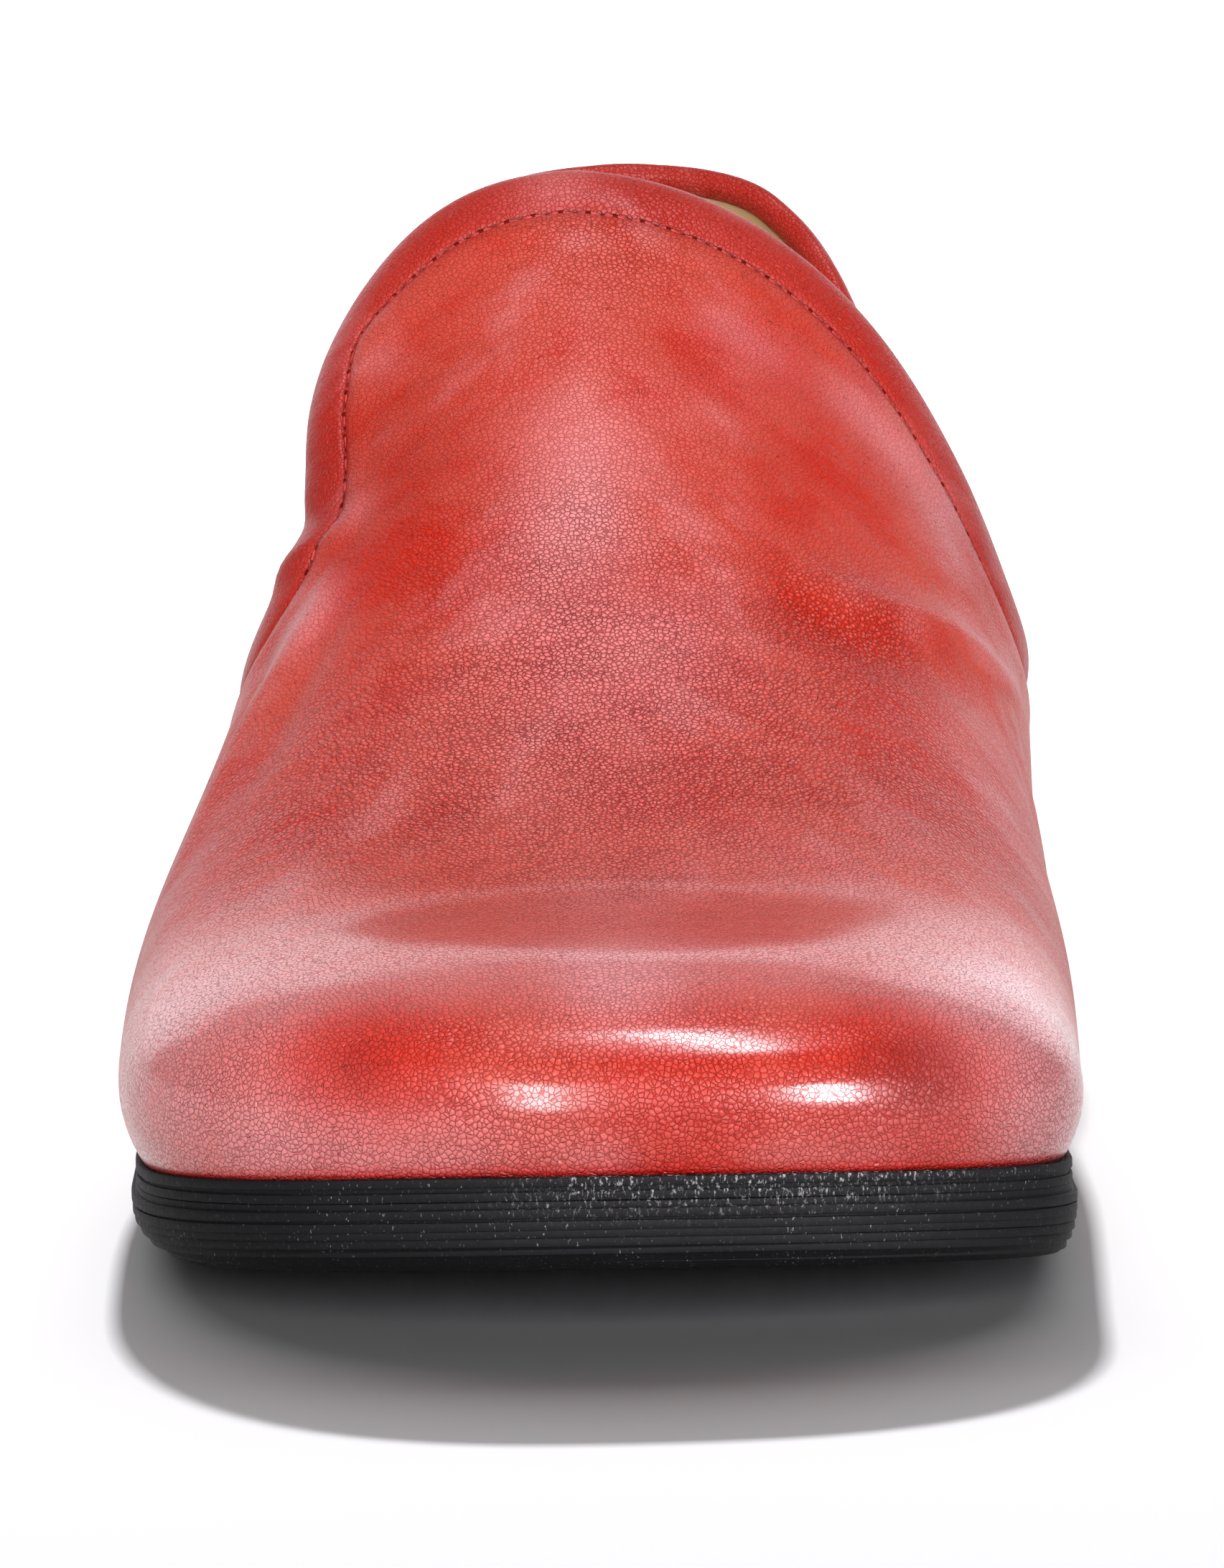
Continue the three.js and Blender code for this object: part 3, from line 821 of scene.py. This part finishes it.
def makeBlackRubber():
    look = blackRubber
    material, shader, place = newMaterial("blackRubber")
    cloud = place.noise(*look["cloud"])
    pore = place.noise(*look["pore"])
    flat = place.node("ShaderNodeVectorMath", {"operation": "MULTIPLY"}, {0: place, 1: look["flatten"]})
    streak = flat.noise(*look["streak"])
    speck = flat.noise(*look["speck"])
    split = place.node("ShaderNodeSeparateXYZ", {}, {0: place})
    scuff, dust = look["scuff"], look["dust"]
    inside = split.between(*scuff["left"]) * split.between(*scuff["right"])
    inside = inside * split.other("Y").between(*scuff["back"]) * split.other("Z").between(*scuff["low"])
    specks = speck.between(*dust["spread"]) * (dust["least"] + cloud.between(*dust["cloudy"]))
    lint = inside * streak.between(*scuff["spread"]) * scuff["weight"] + specks * dust["weight"]
    tone = cloud.between(*look["wornSpread"]).blend(look["body"], look["worn"])
    feed(shader, {
        "Base Color": lint.blend(tone, look["lint"]),
        "Roughness": look["roughness"]["least"] + pore * look["roughness"]["pore"],
        "Normal": pore.bump(look["relief"]["strength"], look["relief"]["depth"]),
        "Specular IOR Level": look["specular"],
    })
    return material


beigeLining = {
    "light": colour(214, 186, 140),
    "dark": colour(186, 152, 106),
    "cloud": (45.0, 5.0),
    "spread": (0.3, 0.7),
    "pore": 1500.0,
    "roughness": {"least": 0.72, "pore": 0.2},
    "relief": {"strength": 0.5, "depth": 0.05 * mm},
}


def makeBeigeLining():
    look = beigeLining
    material, shader, place = newMaterial("beigeLining")
    cloud = place.noise(*look["cloud"]).between(*look["spread"])
    pore = place.node("ShaderNodeTexVoronoi", {}, {"Vector": place, "Scale": look["pore"]})
    feed(shader, {
        "Base Color": cloud.blend(look["dark"], look["light"]),
        "Roughness": look["roughness"]["least"] + pore * look["roughness"]["pore"],
        "Normal": pore.bump(look["relief"]["strength"], look["relief"]["depth"]),
    })
    return material


leather = makeRedLeather()
thread = makeThread()
holeShade = makeHoleShade()
rubber = makeBlackRubber()
lining = makeBeigeLining()
print("materials made")


def leatherPiece(name, strips):
    # a closed piece of leather from rows (down, lift), with what its shader reads at each point
    rows = [onSkin(down, lift)[0] for down, lift in strips]
    values = {spots: patches(rows, redLeather[spots]) for spots in leatherSpots}
    values["edge"] = np.array([np.broadcast_to(down, skinLength.shape) for down, lift in strips])
    values["foot"] = skinLength - values["edge"]
    values["polish"] = np.interp(np.array(rows)[..., 1], *np.transpose(redLeather["polish"]))
    return ringPiece(name, rows, leather, values)


# The upper: leather from the seam under the folded edge down to the sole, and back up inside
upper = {
    "seam": 7.2,  # the stitched groove, down from the topline
    "tucked": [(6.65, -1.1), (6.9, -0.8), (7.15, -0.46), (7.45, -0.2), (7.9, -0.05)],  # down, lift
    "belowSeam": 1.2,  # where the tucked edge ends
    "puff": {"down": 10.0, "wide": 2.2, "high": 0.2},  # the leather swells beside the seam
    "rows": 128,
    "insideRows": 42,
    "thick": 1.2,
}


def makeUpper():
    puff = upper["puff"]
    first = upper["seam"] + upper["belowSeam"]
    strips = list(upper["tucked"])
    for share in np.linspace(0, 1, upper["rows"]):
        down = first + (skinLength - first) * share
        strips.append((down, puff["high"] * np.exp(-((down - puff["down"]) / puff["wide"]) ** 2)))
    for share in np.linspace(1, 0, upper["insideRows"]):
        strips.append((upper["seam"] + (skinLength - upper["seam"]) * share, -upper["thick"]))
    return leatherPiece("upperLeather", strips)


# The folded edge: a soft roll over the topline, closed round its own thickness
foldedEdge = {
    "profile": [  # down, lift
        (7.1, -0.5), (6.85, -0.14), (6.3, 0.14), (5.2, 0.38), (3.6, 0.55), (2.0, 0.5), (0.8, 0.2),
        (0.05, -0.35), (-0.2, -1.05), (0.0, -1.8), (0.5, -2.4), (1.2, -2.7), (2.1, -2.75), (2.7, -2.5),
        (3.1, -2.0), (4.2, -1.5), (6.75, -1.2),
    ],
    "stepsEach": 4,
}


def makeFoldedEdge():
    return leatherPiece("foldedEdge", catmullRom(foldedEdge["profile"], foldedEdge["stepsEach"], closed=True))


# The lining: a thin wall behind the leather, down to the insole
liningWall = {"start": 2.3, "outside": (0, 1, 40, -1.6), "inside": (1, 0, 60, -2.4)}  # from, to, rows, lift


def makeLining():
    rows = []
    start = liningWall["start"]
    for side in ("outside", "inside"):
        first, final, count, lift = liningWall[side]
        for share in np.linspace(first, final, count):
            rows.append(onSkin(start + (skinLength - start) * share, lift)[0])
    return ringPiece("liningWall", rows, lining)


upperPiece = makeUpper()
edgePiece = makeFoldedEdge()
liningPiece = makeLining()
print("upper, folded edge and lining made")


# Geometry Nodes helpers
def nodeTree(name, inputs):
    # returns the tree, a wire, the inputs by name and their identifiers; all but the material are numbers
    tree = bpy.data.node_groups.new(name, "GeometryNodeTree")
    tree.interface.new_socket("Geometry", in_out="INPUT", socket_type="NodeSocketGeometry")
    tree.interface.new_socket("Geometry", in_out="OUTPUT", socket_type="NodeSocketGeometry")
    keys = {}
    for label in inputs + ("Material",):
        kind = {"Material": "NodeSocketMaterial", "Ribs": "NodeSocketInt"}.get(label, "NodeSocketFloat")
        keys[label] = tree.interface.new_socket(label, in_out="INPUT", socket_type=kind).identifier
    start = tree.nodes.new("NodeGroupInput")
    wires = {s.name: Wire(tree, s) for s in start.outputs if s.name}
    return tree, Wire(tree), wires, keys


def endTree(wire, geometry, material):
    real = wire.node("GeometryNodeRealizeInstances", {}, {"Geometry": geometry})
    painted = wire.node("GeometryNodeSetMaterial", {}, {"Geometry": real, "Material": material})
    wire.node("NodeGroupOutput", {}, {0: painted})


def runTree(piece, tree, keys, values):
    modifier = piece.modifiers.new("nodes", "NODES")
    modifier.node_group = tree
    for label, value in values.items():
        modifier[keys[label]] = value
    graph = bpy.context.evaluated_depsgraph_get()
    mesh = bpy.data.meshes.new_from_object(piece.evaluated_get(graph))
    piece.modifiers.clear()
    piece.data = mesh
    mesh.name = piece.name
    smooth(mesh)
    return piece


def pathPiece(name, points, vectors, closed=True):
    # a line of vertices with named vectors on them, for a tree to follow
    mesh = bpy.data.meshes.new(name)
    count = len(points)
    edges = [(i, (i + 1) % count) for i in range(count if closed else count - 1)]
    mesh.from_pydata(toWorld(points).tolist(), edges, [])
    addValues(mesh, vectors)
    return linked(name, mesh)


def named(wire, key):
    return wire.node("GeometryNodeInputNamedAttribute", {"data_type": "FLOAT_VECTOR"}, {"Name": key})


def swept(wire, curve, profile):
    return wire.node("GeometryNodeCurveToMesh", {}, {
        "Curve": curve, "Profile Curve": profile, "Fill Caps": True})


def instances(wire, points, instance, turned):
    return wire.node("GeometryNodeInstanceOnPoints", {}, {
        "Points": points, "Instance": instance, "Rotation": turned})


# Stitches along the groove, with a dark blob between each two, the painted shade of a needle hole
stitch = {
    "pitch": 3.0, "long": 2.4, "thick": 0.2, "lift": 0.1, "hole": 0.36,
    "threadSeat": -0.42,  # heights of the rows off the skin
    "holeSeat": -0.28,
    "dip": -1.5,  # the strand's ends and the top of its bow, in lifts
    "rise": 3.0,
    "holeShape": (1.15, 0.8, 0.35),
    "strandSides": 6,
    "holeSides": 8,
    "holeRings": 5,
}


def stitchFrames(wire, wires, offset):
    # points along the path at the stitch pitch, with a rotation that lies in the groove
    curve = wire.node("GeometryNodeMeshToCurve", {}, {"Mesh": wires["Geometry"]})
    spaced = wire.node("GeometryNodeResampleCurve", {"mode": "LENGTH"},
                       {"Curve": curve, "Length": wires["Pitch"]})
    tangent = wire.node("GeometryNodeInputTangent")
    turned = wire.node("FunctionNodeAxesToRotation", {"primary_axis": "X", "secondary_axis": "Z"},
                       {"Primary Axis": tangent, "Secondary Axis": named(wire, "facing")})
    slide = wire.node("ShaderNodeVectorMath", {"operation": "SCALE"},
                      {0: tangent, "Scale": wires["Pitch"] * offset})
    moved = wire.node("GeometryNodeSetPosition", {}, {"Geometry": spaced, "Offset": slide})
    return moved, turned


def stitchTree():
    tree, wire, wires, keys = nodeTree("stitchRow", ("Pitch", "Long", "Thick", "Lift"))
    points, turned = stitchFrames(wire, wires, 0.0)
    end = wires["Long"] * 0.5
    low = wires["Lift"] * stitch["dip"]
    ends = [wire.node("ShaderNodeCombineXYZ", {}, {"X": x, "Z": low}) for x in (end * -1, end)]
    top = wire.node("ShaderNodeCombineXYZ", {}, {"Z": wires["Lift"] * stitch["rise"]})
    bow = wire.node("GeometryNodeCurveQuadraticBezier", {},
                    {"Resolution": stitch["strandSides"], "Start": ends[0], "Middle": top, "End": ends[1]})
    ring = wire.node("GeometryNodeCurvePrimitiveCircle", {},
                     {"Resolution": stitch["strandSides"], "Radius": wires["Thick"]})
    endTree(wire, instances(wire, points, swept(wire, bow, ring), turned), wires["Material"])
    return tree, keys


def holeTree():
    tree, wire, wires, keys = nodeTree("holeShades", ("Pitch", "Size"))
    points, turned = stitchFrames(wire, wires, 0.5)
    ball = wire.node("GeometryNodeMeshUVSphere", {}, {
        "Segments": stitch["holeSides"], "Rings": stitch["holeRings"], "Radius": wires["Size"]})
    flat = wire.node("GeometryNodeTransform", {}, {"Geometry": ball, "Scale": stitch["holeShape"]})
    endTree(wire, instances(wire, points, flat, turned), wires["Material"])
    return tree, keys


def makeRow(name, seat, treeAndKeys, values):
    path, facing = onSkin(upper["seam"], seat)
    return runTree(pathPiece(name, path, {"facing": facing}), *treeAndKeys, values)


stitchPiece = makeRow("stitches", stitch["threadSeat"], stitchTree(), {
    "Pitch": stitch["pitch"] * mm, "Long": stitch["long"] * mm, "Thick": stitch["thick"] * mm,
    "Lift": stitch["lift"] * mm, "Material": thread})
holePiece = makeRow("holeShades", stitch["holeSeat"], holeTree(), {
    "Pitch": stitch["pitch"] * mm, "Size": stitch["hole"] * mm, "Material": holeShade})
print("stitches:", len(stitchPiece.data.polygons), "faces, holes:", len(holePiece.data.polygons))


# The sole: walls from the outline, ribs laid round them
sole = {
    "trace": 1500,  # points that the outline is worked out from, and those it keeps
    "points": 720,
    "rings": 13,
    "curl": 3.0,  # how late the side rounds inward towards the floor
    "midsole": {"thick": 3.0, "step": 0.5, "ribs": 3, "ribDeep": 0.35, "seed": 1.0,
                "edge": [(0.25, 0.0), (0.07, 0.08), (0.0, 0.25)]},  # inset, drop
    "runner": {"ribs": 6, "ribDeep": 0.35, "seed": 5.0, "roundMedial": 3.9, "roundLateral": 1.4},
    "heel": {"breast": 196, "lean": 5, "ribs": 8, "ribDeep": 0.35, "seed": 9.0, "round": 1.6, "points": 260,
             "high": 16.0, "least": 4},
    "ribShare": 0.93,  # of the pitch
    "ribStray": 0.5,  # how far a rib may lie off its place, in pitches
    "wobble": {"high": 0.12 * mm, "swing": 4.0, "apart": 3.7, "noise": (22.0, 2.0)},
    # uneven ribs, thickest at the front: ranges of x and y in metres of the frame
    "uneven": {"least": 0.66, "patchy": 0.72, "apart": 7.3, "noise": (45.0, 3.0),
               "front": 0.3, "frontX": (0.04, 0.022), "frontY": (-0.09, -0.12)},
    "ribCorner": 0.3,  # of the rib's depth
    "cornerSteps": 2,
    "clear": 0.35,  # ribs stay this far off the floor
}


def sideways(along):
    # level unit vectors to the right of a way
    flat = unit(along * (1, 1, 0))
    return np.stack([flat[:, 1], -flat[:, 0], 0 * flat[:, 0]], 1)


def soleOutline():
    at = last["length"] * eased(sole["trace"])
    loop = np.concatenate([lastPoint(at, 0.0), lastPoint(at[1:-1][::-1], math.pi)])
    edge = loop - sideways(neighbourWay(loop)) * lastCurve["edge"](loop[:, 1])[:, None]
    closed = np.concatenate([edge, edge[:1]]) * (1, 1, 0)
    places = evenly(closed, np.linspace(0, 1, sole["points"], endpoint=False))
    return places, sideways(neighbourWay(places))


def levelRing(places, outward, inset, height):
    ring = places - outward * np.broadcast_to(inset, (len(places),))[:, None]
    ring[:, 2] = height(ring[:, 1])
    return ring


def soleLayer(name, rings, skip=0):
    # a closed layer from rings given from the top down, capped by strips between their two halves;
    # skip is 1 for an arc that is closed by a straight edge
    count = len(rings[0])
    points = np.concatenate(rings)
    faces = outwardFaces(points, wrapFaces(len(rings), count, False)).tolist()
    x, y, _ = rings[0].T
    leftward = (x * np.roll(y, -1) - y * np.roll(x, -1)).sum() > 0
    for first, isTop in ((0, True), ((len(rings) - 1) * count, False)):
        for i in range(count // 2 - skip):
            strip = [i, i + 1, count - skip - i - 1, (count - skip - i) % count]
            strip = [first + k for k in dict.fromkeys(strip)]  # a triangle where two corners fall together
            faces.append(strip if isTop == leftward else strip[::-1])
    return newPiece(name, points, faces, rubber)


def ribTree():
    wobble, rough = sole["wobble"], sole["uneven"]
    tree, wire, wires, keys = nodeTree("ribsRoundSole", ("Ribs", "Share", "Deep", "Wobble", "Seed"))
    curve = wire.node("GeometryNodeMeshToCurve", {}, {"Mesh": wires["Geometry"]})
    copies = wire.node("GeometryNodeDuplicateElements", {"domain": "SPLINE"},
                       {"Geometry": curve, "Amount": wires["Ribs"]})
    number = copies.other("Duplicate Index")
    place = wire.node("GeometryNodeInputPosition")

    def uneven(look):
        # a noise round the sole, other for each rib
        scale, detail = look["noise"]
        return wire.node("ShaderNodeTexNoise", {"noise_dimensions": "4D"}, {
            "Vector": place, "W": number * look["apart"] + wires["Seed"], "Scale": scale, "Detail": detail})

    shift = wire.node("ShaderNodeTexWhiteNoise", {"noise_dimensions": "1D"}, {"W": number + wires["Seed"]})
    share = (number + 0.5 + (shift - 0.5) * sole["ribStray"]) / wires["Ribs"]
    mixed = wire.node("ShaderNodeMix", {"data_type": "VECTOR"},
                      {0: share, 4: place, 5: named(wire, "foot")}, 1)
    curl = wire.node("ShaderNodeVectorMath", {"operation": "SCALE"},
                     {0: named(wire, "drawn"), "Scale": share ** sole["curl"]})
    seat = wire.node("ShaderNodeVectorMath", {"operation": "ADD"}, {0: mixed, 1: curl})
    swing = (uneven(wobble) - 0.5) * wires["Wobble"] * wobble["swing"]
    sway = wire.node("ShaderNodeCombineXYZ", {}, {"Z": swing})
    laid = wire.node("GeometryNodeSetPosition", {}, {"Geometry": copies, "Position": seat, "Offset": sway})
    upright = wire.node("GeometryNodeSetCurveNormal", {"mode": "Z_UP"}, {"Curve": laid})
    across = wire.node("ShaderNodeSeparateXYZ", {}, {0: place})
    front = wire.math("ABSOLUTE", across).between(*rough["frontX"])
    front = front * across.other("Y").between(*rough["frontY"])
    radius = rough["least"] + uneven(rough) * rough["patchy"] + front * rough["front"]
    thick = wire.node("GeometryNodeSetCurveRadius", {}, {"Curve": upright, "Radius": radius})
    bar = wire.node("GeometryNodeCurvePrimitiveQuadrilateral", {},
                    {"Width": wires["Deep"] * 2.0, "Height": wires["Share"]})
    soft = wire.node("GeometryNodeFilletCurve", {"mode": "POLY"}, {
        "Curve": bar, "Count": sole["cornerSteps"], "Radius": wires["Deep"] * sole["ribCorner"],
        "Limit Radius": True})
    endTree(wire, swept(wire, thick, soft), wires["Material"])
    return tree, keys


def joined(name, pieces):
    bpy.ops.object.select_all(action="DESELECT")
    for piece in pieces:
        piece.select_set(True)
    bpy.context.view_layer.objects.active = pieces[0]
    bpy.ops.object.join()
    pieces[0].name = name
    return pieces[0]


ribNodes, ribKeys = ribTree()


def layRibs(name, top, foot, drawn, look, thick, closed=True):
    path = pathPiece(name, top, {"foot": toWorld(foot), "drawn": drawn * mm}, closed)
    return runTree(path, ribNodes, ribKeys, {
        "Ribs": look["ribs"], "Share": thick / look["ribs"] * sole["ribShare"] * mm,
        "Deep": look["ribDeep"] * mm, "Wobble": sole["wobble"]["high"], "Seed": look["seed"],
        "Material": rubber})


def makeMidsole(places, outward):
    look = sole["midsole"]
    wall = look["step"] + look["ribDeep"]
    rings = [levelRing(places, outward, wall + inset, lambda y: soleTop(y) - drop)
             for inset, drop in look["edge"] + [(0.0, look["thick"])]]
    layer = soleLayer("midsoleWall", rings)
    top = levelRing(places, outward, wall, soleTop)
    ribs = layRibs("midsoleRibs", top, rings[-1], outward * 0, look, look["thick"])
    return joined("midsoleLayer", [layer, ribs])


def makeOutsole(places, outward):
    look = sole["runner"]
    towardsMedial = (1 - outward[:, 0]) / 2
    roundIn = look["roundLateral"] + (look["roundMedial"] - look["roundLateral"]) * towardsMedial

    def topAt(y):
        return soleTop(y) - sole["midsole"]["thick"]

    rings = []
    for share in np.linspace(0, 1, sole["rings"]):
        inset = look["ribDeep"] + roundIn * share ** sole["curl"]
        rings.append(levelRing(places, outward, inset,
                               lambda y: topAt(y) * (1 - share) + soleBottom(y) * share))
    runner = soleLayer("runnerWall", rings)
    foot = levelRing(places, outward, look["ribDeep"], lambda y: soleBottom(y) + sole["clear"])
    ribs = layRibs("runnerRibs", rings[0], foot, -outward * roundIn[:, None], look,
                   last["soleThick"] - sole["midsole"]["thick"])
    return joined("outsoleBody", [runner, ribs, *makeHeel(places)])


def makeHeel(places):
    look = sole["heel"]
    waist = last["length"] / 2
    loop = np.roll(places, -np.argmin(np.abs(places[:, 1] - waist)), 0)
    if loop[1, 1] < loop[0, 1]:
        loop = loop[::-1]
    loop = loop[: np.argmax(loop[:, 1] < waist - 1)]  # over the heel from one waist to the other
    under = sole["midsole"]["thick"] + last["soleThick"] / 2

    def arcAt(share, inset):
        # the heel's side between its two breast corners, at a share of its height
        breast = look["breast"] + look["lean"] * (2 * share - 1)
        arc = evenly(loop[loop[:, 1] >= breast], np.linspace(0, 1, look["points"]))
        out = sideways(np.gradient(arc, axis=0))
        if (out * (arc - arc.mean(0))).sum() < 0:
            out = -out
        arc = arc - out * (inset + look["round"] * share ** sole["curl"])
        arc[:, 2] = np.maximum(soleTop(arc[:, 1]) - under, look["least"]) * (1 - share)
        return arc, out

    rings = [arcAt(share, look["ribDeep"])[0] for share in np.linspace(0, 1, sole["rings"])]
    block = soleLayer("heelWall", rings, skip=1)
    top, out = arcAt(0.0, look["ribDeep"])
    foot, _ = arcAt(1.0, look["ribDeep"] - look["round"])
    foot[:, 2] += sole["clear"]
    ribs = layRibs("heelRibs", top, foot, -out * look["round"], look, look["high"], closed=False)
    return [block, ribs]


soleOutlinePlaces, soleOutward = soleOutline()
midsolePiece = makeMidsole(soleOutlinePlaces, soleOutward)
outsolePiece = makeOutsole(soleOutlinePlaces, soleOutward)
print("sole made:", len(midsolePiece.data.polygons), "and", len(outsolePiece.data.polygons), "faces")


# The insole: a soft sock with its rim turned up a little, against the foot of the lining
insole = {
    "up": 2.6, "inset": 2.2, "under": 0.3, "thick": 2.5,
    "rim": 1.2,  # how far the rim stands over the middle, and how late it turns up
    "curl": 4,
    "shares": (0.0, 0.3, 0.6, 0.8, 0.92, 0.985),  # rings from the middle line out
}


def makeInsole():
    rim, _ = onSkin(skinLength - insole["up"], -insole["inset"])
    across = rim[-np.arange(len(rim)) % len(rim)]  # the point on the other side of the foot
    middle = (rim + across) / 2

    def ringAt(share, lift):
        ring = middle + (rim - middle) * share
        ring[:, 2] = soleTop(ring[:, 1]) + insole["under"] + lift
        return ring

    rows = [ringAt(share, 0) for share in insole["shares"]]
    rows.append(ringAt(1.0, insole["thick"] / 2))
    for share in reversed(insole["shares"]):
        rows.append(ringAt(share, insole["thick"] + insole["rim"] * (share ** insole["curl"] - 0.5)))
    return ringPiece("insoleSock", rows, lining, closeRows=False)


insolePiece = makeInsole()
print("insole made")

finished = (
    (upperPiece, "upper", "red_leather"),
    (edgePiece, "collar_band", "red_leather"),
    (midsolePiece, "midsole", "black_rubber"),
    (outsolePiece, "outsole", "black_rubber"),
    (insolePiece, "insole", "beige_lining"),
    (liningPiece, None, "beige_lining"),
    (stitchPiece, None, "red_leather"),
    (holePiece, None, "red_leather"),
)
for piece, node, slot in finished:
    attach(piece, "root")
    if node:
        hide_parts(node)


# Floor, light and camera
studio = {
    "floor": {"wide": 8.0, "white": colour(226, 226, 228), "roughness": 0.9, "specular": 0.1},
    "world": 0.08,
    "glossTint": (1.0, 0.94, 1.0),
    "aim": (0.0, -0.10, 0.03),
    # each light: bearing from the toe's front towards +X, elevation, distance, size across and up, power,
    # and where it shows: in the gloss, or as light on the shoe or on the floor
    "lights": {
        "frontLeft": (-9, 17, 1.5, (0.20, 1.2), 24.0, "gloss"),
        "frontRight": (28, 5, 1.5, (0.20, 0.85), 42.0, "gloss"),
        "overhead": (110, 83, 1.3, (0.5, 0.1), 8.5, "gloss"),
        "backWall": (180, 16, 1.7, (3.0, 0.98), 18.0, "gloss"),
        "frontFill": (5, 47, 1.6, (1.5, 1.0), 41.0, "shoe"),
        "frontLow": (5, 6, 1.6, (1.2, 0.5), 5.0, "shoe"),
        "backKey": (181.5, 43.5, 1.7, (0.12, 0.06), 38.0, "floor"),
        "backSky": (180, 54, 1.7, (3.0, 1.2), 21.0, "floor"),
        "frontFloor": (4, 24, 1.6, (1.5, 0.6), 4.0, "floor"),
    },
}


def makeFloor():
    look = studio["floor"]
    size = look["wide"] / 2
    mesh = bpy.data.meshes.new("floor")
    corners = [(-size, -size, 0), (size, -size, 0), (size, size, 0), (-size, size, 0)]
    mesh.from_pydata(corners, [], [(0, 1, 2, 3)])
    material, shader, _ = newMaterial("paleFloor")
    feed(shader, {"Base Color": look["white"], "Roughness": look["roughness"],
                  "Specular IOR Level": look["specular"]})
    mesh.materials.append(material)
    floor = linked("floor", mesh)
    return floor


def makeLights(floor):
    world = bpy.data.worlds.new("studioWorld")
    bpy.context.scene.world = world
    world.use_nodes = True
    feed(world.node_tree.nodes["Background"], {"Color": (1, 1, 1, 1), "Strength": studio["world"]})
    lit = {}
    for name, members in (("shoe", [row[0] for row in finished]), ("floor", [floor])):
        lit[name] = bpy.data.collections.new("lit_" + name)
        for member in members:
            lit[name].objects.link(member)
    aim = Vector(studio["aim"])
    for name, (bearing, elevation, distance, (wide, high), power, shows) in studio["lights"].items():
        gloss = shows == "gloss"
        light = bpy.data.lights.new(name, "AREA")
        light.shape = "RECTANGLE"
        light.size = wide
        light.size_y = high
        light.energy = power
        light.color = studio["glossTint"] if gloss else (1, 1, 1)
        turn, lift = math.radians(bearing), math.radians(elevation)
        away = Vector((math.sin(turn) * math.cos(lift), -math.cos(turn) * math.cos(lift), math.sin(lift)))
        lamp = linked(name, light)
        lamp.location = aim + away * distance
        lamp.rotation_euler = (-away).to_track_quat("-Z", "Y").to_euler()
        lamp.visible_glossy = gloss
        lamp.visible_diffuse = not gloss
        lamp.visible_camera = False
        if not gloss:
            lamp.light_linking.receiver_collection = lit[shows]


# The photograph's view: the toe's reference point falls on a known pixel
photo = {
    "wide": 1705, "high": 2184,
    "distance": 1100, "elevation": 12.0, "roll": 1.0,
    "pixelsPerMm": 14.3,
    "toe": (0.0, 0.0, 9.5), "toePixel": (852.5, 1768.0),
    "sensor": 36, "farthest": 50,
}


def makeCamera():
    tilt, roll = math.radians(photo["elevation"]), math.radians(photo["roll"])
    ahead = np.array([0, math.cos(tilt), -math.sin(tilt)])
    rightFlat = np.array([1.0, 0, 0])
    upFlat = np.array([0, math.sin(tilt), math.cos(tilt)])
    right = rightFlat * math.cos(roll) - upFlat * math.sin(roll)
    up = upFlat * math.cos(roll) + rightFlat * math.sin(roll)
    offX = (photo["toePixel"][0] - photo["wide"] / 2) / photo["pixelsPerMm"]
    offY = (photo["high"] / 2 - photo["toePixel"][1]) / photo["pixelsPerMm"]
    eye = np.array(photo["toe"]) - ahead * photo["distance"] - right * offX - up * offY
    view = bpy.data.cameras.new("photoView")
    view.sensor_fit = "VERTICAL"
    view.sensor_height = photo["sensor"]
    view.lens = photo["sensor"] * photo["pixelsPerMm"] * photo["distance"] / photo["high"]
    view.clip_end = photo["farthest"]
    camera = linked("photoView", view)
    turn = Matrix([list(axis) for axis in (right, up, -ahead)]).transposed()
    camera.matrix_world = Matrix.Translation(Vector(toWorld(eye))) @ turn.to_4x4()
    bpy.context.scene.camera = camera


makeLights(makeFloor())
makeCamera()
bpy.context.scene.view_settings.view_transform = "Standard"
print("studio and camera made")
